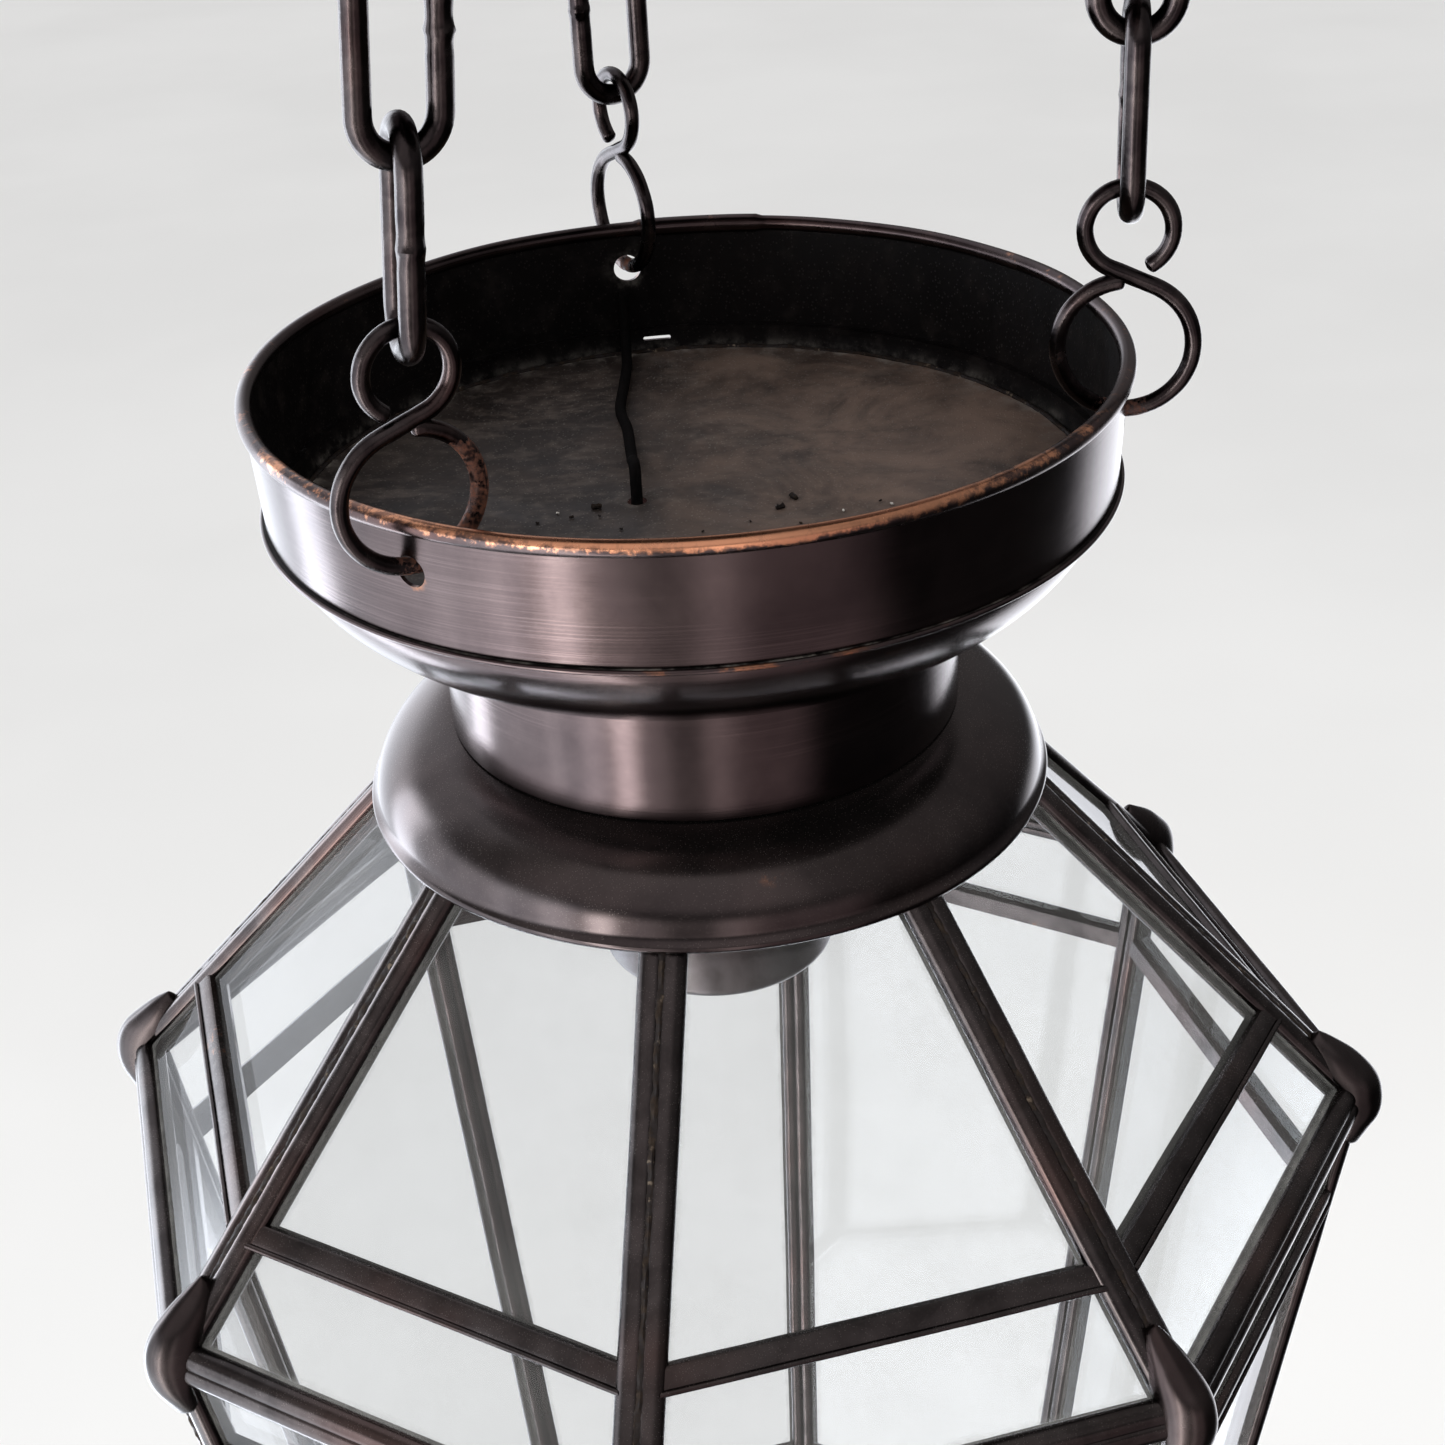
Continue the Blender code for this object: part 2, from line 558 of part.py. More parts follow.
def door_span(side):
    """Top and foot of the door leaf, down the slope, and its margin to the panel's edges."""
    top = SIDE_RAIL * side.slope + RAIL_WIDTH / 2 + DOOR_GAP
    return top, side.slope - CAME - DOOR_GAP, CAME + DOOR_GAP


def door(side, bronze, glass, frame):
    """The lower light of one side: its own came frame on a pin hinge, with a knob."""
    top, foot, margin = door_span(side)
    leaf, rebate, light, pane = bmesh.new(), bmesh.new(), bmesh.new(), bmesh.new()
    lip, through = CAME - REBATE, FRAME_THICKNESS + 0.001
    front = FRAME_LIP + GAP
    side.slab(leaf, DOOR_FACE, (top, foot), (0.0, DOOR_THICKNESS), margin)
    side.slab(rebate, DOOR_FACE, (top + lip, foot - lip), (FRAME_LIP, through), margin + lip)
    side.slab(light, DOOR_FACE, (top + CAME, foot - CAME), (-0.001, through), margin + CAME)
    inset = lip + GAP
    side.slab(pane, DOOR_FACE, (top + inset, foot - inset), (front, front + GLASS), margin + inset)
    hung = from_bmesh("door_frame", leaf, bronze)
    boolean(hung, from_bmesh("door_rebate", rebate, None))
    boolean(hung, from_bmesh("door_light", light, None))
    from_bmesh("door_glass", pane, glass)
    hinge(side, hung, frame, bronze)
    door_knob(side, bronze)


def hinge(side, hung, frame, bronze):
    """Two pairs of knuckles on one pin, outside the panel along the gap beside the corner came."""
    top, foot, margin = door_span(side)
    place = side.place(DOOR_FACE)
    line = [place @ Vector((side.half_width(down, CAME + DOOR_GAP / 2), -HINGE_STANDOFF, -down))
            for down in (top, foot)]
    along = (line[1] - line[0]).normalized()
    length = (line[1] - line[0]).length
    turn = Vector((0, 0, -1)).rotation_difference(along).to_matrix().to_4x4()
    inward = (place.to_3x3() @ Vector((0, 1, 0))).normalized()
    across = along.cross(inward)
    for number, start in enumerate((HINGE_INSET, length - HINGE_INSET - 2 * BARREL_LENGTH - GAP)):
        for owner, offset, toward in ((hung, 0.0, -1), (frame, BARREL_LENGTH + GAP, 1)):
            middle = line[0] + along * (start + offset + BARREL_LENGTH / 2)
            label = f"{owner.name}_knuckle_{number + 1}"
            at = Matrix.Translation(middle)
            boolean(owner, cylinder_cutter(label, HINGE_BARREL, BARREL_LENGTH, at @ turn, 12), "UNION")
            axes = Matrix((across * toward, inward, along)).transposed().to_4x4()
            boolean(owner, hinge_leaf(f"{label}_leaf", at @ axes), "UNION")
            bore = cylinder_cutter(f"{label}_bore", HINGE_PIN + GAP, BARREL_LENGTH + 0.01, at @ turn, 12)
            boolean(owner, bore)
    ends = (HINGE_INSET - PIN_OVERHANG, length - HINGE_INSET + PIN_OVERHANG)
    wire("door_hinge_pin", [line[0] + along * end for end in ends], HINGE_PIN, bronze)


def hinge_leaf(name, place):
    """The short plate that joins a knuckle to its frame, from the barrel down into the metal."""
    plate = bmesh.new()
    bmesh.ops.create_cube(plate, size=1.0)
    near, far = HINGE_PIN, HINGE_STANDOFF + 0.0004
    for vertex in plate.verts:
        vertex.co = Vector(((vertex.co.x + 0.5) * LEAF_REACH,
                            near + (vertex.co.y + 0.5) * (far - near),
                            vertex.co.z * (BARREL_LENGTH - 0.001)))
    plate.transform(place)
    return from_bmesh(name, plate, None)


def door_knob(side, bronze):
    """A small turned knob half-way down the door's free edge."""
    top, foot, margin = door_span(side)
    place = side.place(DOOR_FACE)
    down = (top + foot) / 2
    at = place @ Vector((-side.half_width(down, margin + CAME / 2), -GAP, -down))
    outward = place.to_3x3() @ Vector((0, -1, 0))
    stand = Vector((0, 0, 1)).rotation_difference(outward).to_matrix().to_4x4()
    knob = [(0.0, 0.0095), (0.0030, 0.0090), (0.0040, 0.0070), (0.0030, 0.0048), (0.0016, 0.0038),
            (0.0016, 0.0012), (0.0028, 0.0008), (0.0028, 0.0), (0.0, 0.0)]
    turned("door_knob", knob, bronze, 16, place=Matrix.Translation(at) @ stand)


def base_pane(side, glass):
    """The flat glass that closes the bottom, on a ledge of the side frame."""
    radius = side.inset_radius(1, FRAME_THICKNESS) - 0.0010
    level = side.levels[1] + GAP / 2
    profile = [(0.0, level + GLASS), (radius, level + GLASS), (radius, level), (0.0, level)]
    turned("base_glass", profile, glass, FACE_COUNT, CAGE_TURN, smooth=False)


def cage(bronze, glass):
    roof = Tier(ROOF_TOP_RADIUS, ROOF_TOP_DEPTH, SHOULDER_RADIUS, SHOULDER_DEPTH)
    side = Tier(SHOULDER_RADIUS, SHOULDER_DEPTH, BASE_RADIUS, BASE_DEPTH)
    frame_tier("roof_frame", roof, ROOF_RAIL, bronze)
    side_frame = frame_tier("side_frame", side, SIDE_RAIL, bronze, DOOR_FACE)
    panes("roof_glass", roof, ROOF_RAIL, glass)
    panes("side_glass", side, SIDE_RAIL, glass, DOOR_FACE)
    corner_caps(roof, side, bronze)
    door(side, bronze, glass, side_frame)
    base_pane(side, glass)


def main():
    clear_scene()
    bronze = make_material("dark_bronze", (0.050, 0.036, 0.034), 0.35, 1.0)
    dusty = make_material("dusty_bronze", (0.060, 0.045, 0.040), 0.50, 0.9)
    steel = make_material("chain_steel", (0.045, 0.036, 0.034), 0.45, 1.0)
    glass = make_material("clear_glass", (0.93, 0.96, 0.95), 0.03, 0.0, 1.0)
    ceramic = make_material("ceramic", (0.75, 0.73, 0.68), 0.30, 0.0)
    brass = make_material("brass", (0.55, 0.40, 0.16), 0.35, 1.0)
    black = make_material("flex_black", (0.02, 0.02, 0.02), 0.40, 0.0)
    suspension(bronze, steel)
    pan(bronze, dusty)
    neck_and_collar(bronze, dusty)
    lampholder(bronze, ceramic, brass)
    flex(black)
    cage(bronze, glass)


main()
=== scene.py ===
"""Looks, lights and camera of the hanging lantern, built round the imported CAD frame.

Metres, +Z up, in the CAD's own frame. Radii, and depths below the pan's rim, are the CAD's driving
dimensions.
"""
import math

import bmesh
import bpy
from mathutils import Matrix, Vector, noise


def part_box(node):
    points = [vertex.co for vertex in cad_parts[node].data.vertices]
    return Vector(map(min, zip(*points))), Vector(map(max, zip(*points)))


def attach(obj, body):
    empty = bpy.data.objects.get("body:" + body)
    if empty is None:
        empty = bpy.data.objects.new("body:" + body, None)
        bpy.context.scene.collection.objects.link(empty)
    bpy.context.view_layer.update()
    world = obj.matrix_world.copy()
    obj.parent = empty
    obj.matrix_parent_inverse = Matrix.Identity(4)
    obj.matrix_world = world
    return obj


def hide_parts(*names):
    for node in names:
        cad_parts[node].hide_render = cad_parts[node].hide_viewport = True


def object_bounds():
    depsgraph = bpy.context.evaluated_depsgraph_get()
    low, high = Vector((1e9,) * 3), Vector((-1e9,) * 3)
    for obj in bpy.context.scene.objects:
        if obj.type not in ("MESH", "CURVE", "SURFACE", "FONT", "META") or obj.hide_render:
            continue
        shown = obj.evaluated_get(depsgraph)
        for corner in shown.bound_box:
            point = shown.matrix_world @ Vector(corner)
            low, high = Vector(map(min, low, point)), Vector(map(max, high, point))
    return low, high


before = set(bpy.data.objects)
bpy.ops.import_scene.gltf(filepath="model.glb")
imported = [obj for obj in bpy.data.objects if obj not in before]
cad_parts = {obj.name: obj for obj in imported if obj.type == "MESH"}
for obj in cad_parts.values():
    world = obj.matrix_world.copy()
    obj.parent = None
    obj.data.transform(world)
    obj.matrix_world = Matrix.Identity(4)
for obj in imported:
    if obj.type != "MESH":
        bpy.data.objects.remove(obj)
cad_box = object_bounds()

# ---- sizes shared with the CAD ------------------------------------------------------------------
rim_low, rim_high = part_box("pan_rim")
RIM_Z = (rim_low.z + rim_high.z) / 2
RIM_WIRE = (rim_high.z - rim_low.z) / 2
RIM_CIRCLE = rim_high.y - RIM_WIRE
HOOK_AZIMUTHS = {"left": -125.0, "back": 98.0, "right": -13.0}      # degrees, as the two below
S_TURNS = {"left": 206.0, "back": 117.0, "right": -8.0}             # also the upper links' turns
LOWER_LINK_TURNS = {"left": 285.0, "back": 207.0, "right": 82.0}
FACE_COUNT = 8
CAGE_TURN = math.radians(-9.2)   # of the cage's first corner from +X
FINE = 192                       # sides of a turned piece

# wires and loops are given by their radii
PLATE_THICKNESS = 0.003
SCREW_CIRCLE = 0.045
SCREW_HOLE_RADIUS = 0.0024
HOOK_WIRE = 0.00225
LINK_WIRE = 0.0025
S_WIRE = 0.00175
LINK_LENGTH = 0.045
LINK_WIDTH = 0.020
CONTACT = 0.0005                 # play between a wire and the one it hangs in
HOOK_Z = -0.026
CEILING_HOOK_BEND = 0.0085
S_UPPER = 0.00875
S_LOWER = 0.01375
S_NECK = 0.002
LEFT_LEAN = 0.010
HALF_LINK = LINK_LENGTH / 2 - LINK_WIRE
UPPER_LINK_TOP = HOOK_Z + HOOK_WIRE + LINK_WIRE + CONTACT
UPPER_LINK_FOOT = UPPER_LINK_TOP - 2 * HALF_LINK
LOWER_LINK_TOP = UPPER_LINK_FOOT + 2 * LINK_WIRE + CONTACT
LOWER_LINK_FOOT = LOWER_LINK_TOP - 2 * HALF_LINK
S_TOP = LOWER_LINK_FOOT + LINK_WIRE + S_WIRE + CONTACT
S_FOOT = S_TOP - 2 * S_UPPER - 2 * S_LOWER - S_NECK

WALL_THICKNESS = 0.0009
WALL_TOP_RADIUS = 0.0938
WALL_FOOT_RADIUS = 0.0924
HOOK_CIRCLE = (WALL_TOP_RADIUS + WALL_FOOT_RADIUS) / 2 - WALL_THICKNESS / 2
HOOK_HOLE_RADIUS = 0.0033
LIP_RADIUS = 0.0936
LIP_DEPTH = 0.0250
LIP_THICKNESS = 0.0012
FLOOR_DEPTH = 0.0300
DISH_DEPTH = 0.0519
DISH_CURVE = 1.25
LIP_STEP = 0.0030
DISH_WALL = 0.0009
SLOT_AZIMUTH = math.radians(94.2)
NECK_RADIUS = 0.0580
NECK_FOOT_DEPTH = 0.0800
NECK_WALL = 0.0010
COLLAR_RADIUS = 0.0785
COLLAR_DEPTH = 0.0984
FLOOR_HOLE = Vector((-0.0122, -0.0032, 0.0))
FLOOR_HOLE_RADIUS = 0.0022
CROSSBAR_DEPTH = 0.0760
CUP_RADIUS = 0.0279
CUP_FOOT_DEPTH = 0.1483
CUP_HEIGHT = 0.0430
FLEX_RADIUS = 0.0013

FRAME_THICKNESS = 0.0060
GLASS_FRONT = 0.0025
GLASS = 0.0030
CAME = 0.0061                    # width of a came from the panel's edge
GLASS_EDGE = 0.0039              # the pane's edge, inside the came
ROOF_RAIL = 0.745                # a rail's place down its panel, as a share of the slope
SIDE_RAIL = 0.122
RAIL_WIDTH = 0.0064
DOOR_FACE = 6
DOOR_GAP = 0.0006
HINGE_INSET = 0.030              # first knuckle from the door's end
HINGE_STANDOFF = 0.0030
HINGE_BARREL = 0.0024
BARREL_LENGTH = 0.012
GAP = 0.0003                     # between neighbouring pieces

# ---- camera -------------------------------------------------------------------------------------
CAMERA_PLACE = Vector((0.0, -0.4740, RIM_Z + 0.1793))
CAMERA_FORWARD = Vector((0.0067, 0.8700, -0.4931))
CAMERA_UP = Vector((0.0615, 0.4918, 0.8685))
CAMERA_LENS = 58.46
SENSOR_WIDTH = 36.0              # both in millimetres


def placed(name, data):
    """An object of this scene that holds the data."""
    holder = bpy.data.objects.new(name, data)
    bpy.context.scene.collection.objects.link(holder)
    return holder


def camera():
    data = bpy.data.cameras.new("camera")
    data.lens = CAMERA_LENS
    data.sensor_width = SENSOR_WIDTH
    holder = placed("camera", data)
    back = -CAMERA_FORWARD.normalized()
    right = CAMERA_UP.cross(back).normalized()
    turn = Matrix((right, back.cross(right), back)).transposed().to_4x4()
    holder.matrix_world = Matrix.Translation(CAMERA_PLACE) @ turn
    bpy.context.scene.camera = holder


# ---- materials ----------------------------------------------------------------------------------
class Nodes:
    """Short calls for the nodes of one tree."""

    def __init__(self, tree):
        self.tree = tree

    def node(self, kind, **settings):
        made = self.tree.nodes.new(kind)
        for key, value in settings.items():
            setattr(made, key, value)
        return made

    def feed(self, socket, value):
        if isinstance(value, bpy.types.NodeSocket):
            self.tree.links.new(value, socket)
        elif isinstance(value, tuple) and len(value) == 3 and socket.type == "RGBA":
            socket.default_value = (*value, 1.0)
        else:
            socket.default_value = value

    def ramp(self, value, start, stop, low=0.0, high=1.0):
        made = self.node("ShaderNodeMapRange", interpolation_type="SMOOTHSTEP")
        for socket, number in zip(made.inputs, (value, start, stop, low, high)):
            self.feed(socket, number)
        return made.outputs["Result"]

    def math(self, operation, first, second):
        made = self.node("ShaderNodeMath", operation=operation,
                         use_clamp=operation in ("ADD", "SUBTRACT"))
        self.feed(made.inputs[0], first)
        self.feed(made.inputs[1], second)
        return made.outputs[0]


class Look(Nodes):
    """One material, with short calls for the nodes that its pattern needs."""

    def __init__(self, name):
        self.material = bpy.data.materials.new(name)
        self.material.use_nodes = True
        super().__init__(self.material.node_tree)
        self.surface = self.tree.nodes["Principled BSDF"]
        self.output = self.tree.nodes["Material Output"]
        self.place = self.node("ShaderNodeTexCoord").outputs["Object"]

    def stretched(self, x, y, z):
        made = self.node("ShaderNodeMapping")
        self.feed(made.inputs["Vector"], self.place)
        made.inputs["Scale"].default_value = (x, y, z)
        return made.outputs["Vector"]

    def noise(self, scale, detail=4.0, roughness=0.55, where=None, distortion=0.0):
        made = self.node("ShaderNodeTexNoise")
        self.feed(made.inputs["Vector"], where or self.place)
        made.inputs["Scale"].default_value = scale
        made.inputs["Detail"].default_value = detail
        made.inputs["Roughness"].default_value = roughness
        made.inputs["Distortion"].default_value = distortion
        return made.outputs["Fac"]

    def specks(self, scale, size):
        """1 inside small round grains scattered through space."""
        made = self.node("ShaderNodeTexVoronoi")
        self.feed(made.inputs["Vector"], self.place)
        made.inputs["Scale"].default_value = scale
        return self.ramp(made.outputs["Distance"], size, size * 0.5)

    def mix(self, share, first, second):
        made = self.node("ShaderNodeMix", data_type="RGBA")
        self.feed(made.inputs["Factor"], share)
        self.feed(made.inputs[6], first)
        self.feed(made.inputs[7], second)
        return made.outputs[2]

    def blend(self, share, first, second):
        made = self.node("ShaderNodeMix", data_type="FLOAT")
        self.feed(made.inputs["Factor"], share)
        self.feed(made.inputs[2], first)
        self.feed(made.inputs[3], second)
        return made.outputs[0]

    def attribute(self, name):
        return self.node("ShaderNodeAttribute", attribute_name=name).outputs["Fac"]

    def facing_up(self, start, stop):
        """1 on surfaces that face the sky, where dust settles."""
        split = self.node("ShaderNodeSeparateXYZ")
        self.feed(split.inputs[0], self.node("ShaderNodeNewGeometry").outputs["Normal"])
        return self.ramp(split.outputs["Z"], start, stop)

    def bump(self, height, distance, strength=1.0, below=None):
        made = self.node("ShaderNodeBump")
        made.inputs["Strength"].default_value = strength
        made.inputs["Distance"].default_value = distance
        self.feed(made.inputs["Height"], height)
        if below is not None:
            self.feed(made.inputs["Normal"], below)
        return made.outputs["Normal"]

    def finish(self, **sockets):
        for name, value in sockets.items():
            self.feed(self.surface.inputs[name.replace("_", " ")], value)
        return self.material


DARK = (0.050, 0.039, 0.040)
BROWN = (0.088, 0.069, 0.068)
COPPER = (0.36, 0.165, 0.090)
RUST = (0.135, 0.048, 0.026)
DUST = (0.30, 0.275, 0.245)


def patina(name, dark=DARK, pale=BROWN, worn=COPPER, roughness=(0.20, 0.32), brushed=0.0, dust=0.0,
           grain=90.0, matt_wear=False, pitted=0.3):
    """Oil-rubbed bronze: cloudy dark colour, worn places from the wear attribute, dust on top."""
    look = Look(name)
    clouds = look.noise(grain, 5.0, 0.6, distortion=0.3)
    broad = look.noise(grain * 0.22, 3.0, 0.5)
    colour = look.mix(look.ramp(clouds, 0.30, 0.72), dark, pale)
    tint = tuple(channel * share for channel, share in zip(pale, (1.25, 0.86, 0.78)))
    colour = look.mix(look.ramp(broad, 0.50, 0.75, 0.0, 0.6), colour, tint)
    rough = look.ramp(clouds, 0.25, 0.75, *roughness)
    height = look.noise(grain * 9.0, 3.0, 0.6)
    normal = look.bump(height, 0.00005, pitted)
    if brushed:
        streaks = look.noise(55.0, 6.0, 0.72, where=look.stretched(0.22, 0.22, 46.0))
        patches = look.ramp(look.noise(26.0, 3.0, 0.6, where=look.stretched(0.5, 0.5, 2.2)), 0.42, 0.62)
        share = look.math("MULTIPLY", look.ramp(streaks, 0.46, 0.66, 0.0, 0.34), patches)
        colour = look.mix(share, colour, tuple(c * 1.8 for c in pale))
        rough = look.blend(look.ramp(streaks, 0.35, 0.65, 0.0, 0.6), rough, roughness[1])
        normal = look.bump(streaks, 0.00005, brushed, below=normal)
    wear = look.attribute("wear")
    flecks = look.noise(grain * 6.0, 4.0, 0.7)
    ragged = look.math("ADD", wear, look.math("MULTIPLY", look.math("SUBTRACT", clouds, 0.5), 1.6))
    ragged = look.math("SUBTRACT", ragged, look.ramp(flecks, 0.40, 0.66, 0.30, 0.0))
    ragged = look.math("MULTIPLY", look.ramp(ragged, 0.35, 0.80), look.ramp(wear, 0.0, 0.15))
    colour = look.mix(ragged, colour, worn)
    metal = 1.0
    if matt_wear:
        metal = look.blend(ragged, 1.0, 0.15)
        rough = look.blend(ragged, rough, 0.75)
    if dust:
        lie = look.math("ADD", look.ramp(broad, 0.25, 0.75, 0.30, 1.0), look.attribute("dust"))
        settled = look.math("MULTIPLY", look.facing_up(0.05, 0.95), lie)
        settled = look.math("MULTIPLY", settled, dust)
        grains = look.math("MULTIPLY", look.specks(1900.0, 0.26), look.facing_up(-0.1, 0.5))
        settled = look.math("ADD", settled, look.math("MULTIPLY", grains, min(1.0, dust * 2.4)))
        colour = look.mix(settled, colour, DUST)
        rough = look.blend(settled, rough, 0.85)
        metal = look.blend(settled, metal, 0.0)
    return look.finish(Base_Color=colour, Roughness=rough, Metallic=metal, Normal=normal)


def soot_and_painted_shade(name, soot_and_shade, dirt, smear, warmth=0.0, gritty=0.35, gloss=0.5):
    """The pan's inside: nearly black, its dark colour darkened further as painted shade, with dust lying
    on it and rubbed into it.
    """
    look = Look(name)
    broad = look.noise(28.0, 4.0, 0.55, distortion=0.6)
    fine = look.noise(170.0, 5.0, 0.65)
    grit = look.specks(900.0, 0.25)
    # the two base tones are near-black: painted shade for the pan's shadowed inside, over its own dark
    # colour
    colour = look.mix(look.ramp(broad, 0.38, 0.68), soot_and_shade, dirt)
    colour = look.mix(look.ramp(fine, 0.48, 0.72, 0.0, 0.55), colour, smear)
    if warmth:
        scuffs = look.noise(85.0, 6.0, 0.75, where=look.stretched(0.6, 1.6, 1.0))
        colour = look.mix(look.ramp(scuffs, 0.50, 0.66, 0.0, 0.5), colour, smear)
        colour = look.mix(look.ramp(look.noise(48.0, 6.0, 0.75), 0.50, 0.64, 0.0, 0.85), colour, soot_and_shade)
        split = look.node("ShaderNodeSeparateXYZ")
        look.feed(split.inputs[0], look.place)
        uneven_side = look.math("ADD", split.outputs["X"], look.math("MULTIPLY", broad, 0.050))
        blotches = look.ramp(look.noise(36.0, 6.0, 0.72, distortion=0.5), 0.34, 0.66, 0.25, 1.0)
        share = look.math("MULTIPLY", look.ramp(uneven_side, -0.020, 0.075, 0.0, warmth), blotches)
        colour = look.mix(share, colour, (0.150, 0.100, 0.076))
    edge = look.math("MULTIPLY", look.attribute("wear"), look.ramp(fine, 0.42, 0.66))
    colour = look.mix(edge, colour, (0.20, 0.18, 0.16))
    colour = look.mix(look.math("MULTIPLY", grit, gritty), colour, (0.20, 0.18, 0.16))
    rough = look.ramp(broad, 0.3, 0.7, 0.42, 0.75)
    normal = look.bump(fine, 0.00025, 0.5)
    normal = look.bump(grit, 0.00015, 0.6, below=normal)
    return look.finish(Base_Color=colour, Roughness=rough, Specular_IOR_Level=gloss, Normal=normal)


def rough_solder(name):
    look = Look(name)
    clouds = look.noise(330.0, 5.0, 0.7)
    colour = look.mix(look.ramp(clouds, 0.45, 0.68), (0.016, 0.012, 0.011), (0.075, 0.056, 0.042))
    colour = look.mix(look.ramp(look.noise(520.0, 3.0), 0.63, 0.72, 0.0, 0.7), colour,
                      (0.24, 0.19, 0.14))
    normal = look.bump(clouds, 0.0005, 0.9)
    return look.finish(Base_Color=colour, Roughness=look.ramp(clouds, 0.3, 0.7, 0.5, 0.85),
                       Metallic=look.ramp(clouds, 0.4, 0.6, 0.3, 0.8), Normal=normal)


def clear_glass(name):
    """Old window glass: open to sight, mirroring at a slant, with dust as a film and along the cames."""
    look = Look(name)
    wave = look.noise(9.0, 1.0, 0.4)
    normal = look.bump(wave, 0.0012, 0.5)
    slant = look.node("ShaderNodeLayerWeight")
    slant.inputs["Blend"].default_value = 0.5
    shine = look.math("POWER", slant.outputs["Facing"], 5.0)
    shine = look.math("ADD", look.math("MULTIPLY", shine, 0.5), 0.022)
    clear = look.node("ShaderNodeBsdfTransparent")
    clear.inputs["Color"].default_value = (0.972, 0.978, 0.982, 1.0)
    mirror = look.node("ShaderNodeBsdfGlossy")
    mirror.inputs["Roughness"].default_value = 0.03
    look.feed(mirror.inputs["Normal"], normal)
    pane = look.node("ShaderNodeMixShader")
    look.feed(pane.inputs[0], shine)
    look.feed(pane.inputs[1], clear.outputs[0])
    look.feed(pane.inputs[2], mirror.outputs[0])

    edge = look.attribute("edge")
    clouds = look.noise(150.0, 5.0, 0.65)
    uneven_edge = look.math("ADD", edge, look.math("MULTIPLY", clouds, 0.0030))
    residue = look.ramp(uneven_edge, 0.0032, 0.0010, 0.0, 0.22)
    film = look.ramp(look.noise(16.0, 5.0, 0.65), 0.35, 0.75, 0.025, 0.070)
    patches = look.ramp(look.noise(60.0, 4.0, 0.6), 0.52, 0.68, 0.0, 0.50)
    grains = look.math("MULTIPLY", look.specks(520.0, 0.045), patches)
    dirt = look.math("ADD", look.math("ADD", residue, film), grains)
    dull = look.node("ShaderNodeBsdfDiffuse")
    dull.inputs["Color"].default_value = (0.62, 0.61, 0.58, 1.0)
    both = look.node("ShaderNodeMixShader")
    look.feed(both.inputs[0], dirt)
    look.feed(both.inputs[1], pane.outputs[0])
    look.feed(both.inputs[2], dull.outputs[0])
    look.feed(look.output.inputs["Surface"], both.outputs[0])
    look.tree.nodes.remove(look.surface)
    return look.material


def plain_grained(name, dark, pale, scale, roughness, metallic=0.0, gloss=0.5):
    """A finish with a soft two-tone grain, for the lampholder's inner parts and the flex."""
    look = Look(name)
    grain = look.noise(scale, 5.0, 0.6)
    colour = look.mix(look.ramp(grain, 0.35, 0.68), dark, pale)
    return look.finish(Base_Color=colour, Roughness=look.ramp(grain, 0.3, 0.7, *roughness),
                       Metallic=metallic, Specular_IOR_Level=gloss,
                       Normal=look.bump(grain, 0.0001, 0.5))


def make_looks():
    return {
        "bronze": patina("aged_bronze", grain=75.0),
        "rim": patina("rim_bronze", worn=(0.72, 0.350, 0.200), grain=75.0),
        "brushed": patina("brushed_bronze", brushed=0.35, grain=30.0,
                          roughness=(0.12, 0.21), pitted=0.10),
        "came": patina("came_bronze", dark=(0.034, 0.030, 0.030), pale=(0.070, 0.062, 0.061),
                       grain=100.0, dust=0.05, roughness=(0.14, 0.26), pitted=0.3),
        "collar": patina("collar_bronze", dark=(0.038, 0.032, 0.033), pale=(0.068, 0.056, 0.055),
                         grain=40.0, dust=0.06, roughness=(0.12, 0.21), pitted=0.12),
        "steel": patina("chain_steel", dark=(0.024, 0.020, 0.021), pale=(0.060, 0.051, 0.050),
                        worn=RUST, grain=170.0, roughness=(0.15, 0.30), matt_wear=True, pitted=0.6),
        "cap": patina("cap_bronze", dark=(0.034, 0.030, 0.030), pale=(0.062, 0.054, 0.053), grain=60.0,
                      roughness=(0.21, 0.31), pitted=0.25),
        "cup": patina("cup_bronze", grain=60.0, dust=0.30, pale=(0.15, 0.14, 0.14),
                      roughness=(0.30, 0.42)),
        # near-black tones here are painted shade for the inside of the pan's wall
        "inside": soot_and_painted_shade("pan_inside", (0.0015, 0.001, 0.001), (0.004, 0.003, 0.003),
                        (0.014, 0.011, 0.010), gritty=0.06, gloss=0.12),
        # the floor's two darkest tones are painted shade; the smear and the warm blotches are its dust
        "floor": soot_and_painted_shade("pan_floor_dust", (0.005, 0.004, 0.004), (0.022, 0.017, 0.015),
                       (0.086, 0.069, 0.058), warmth=1.0),
        "solder": rough_solder("seam_solder"),
        "glass": clear_glass("window_glass"),
        "ceramic": plain_grained("glazed_ceramic", (0.62, 0.59, 0.52), (0.78, 0.76, 0.71),
                                 120.0, (0.15, 0.3)),
        "brass": plain_grained("dull_brass", (0.30, 0.20, 0.08), (0.60, 0.44, 0.19),
                               200.0, (0.3, 0.5), 1.0),
        "grit": plain_grained("pale_grit", (0.40, 0.37, 0.33), (0.78, 0.74, 0.68), 900.0, (0.4, 0.6)),
        "flex": plain_grained("flex_rubber", (0.001, 0.001, 0.001), (0.004, 0.003, 0.003),
                              700.0, (0.8, 0.95), gloss=0.1),
    }


# ---- mesh tools ---------------------------------------------------------------------------------
SAME_POINT = 0.0000002           # points nearer than this are one


def polar(radius, azimuth, height=0.0):
    """A point by its distance from the axis, its azimuth in radians and its height."""
    return Vector((radius * math.cos(azimuth), radius * math.sin(azimuth), height))


def azimuth_of(point):
    return math.atan2(point.y, point.x)


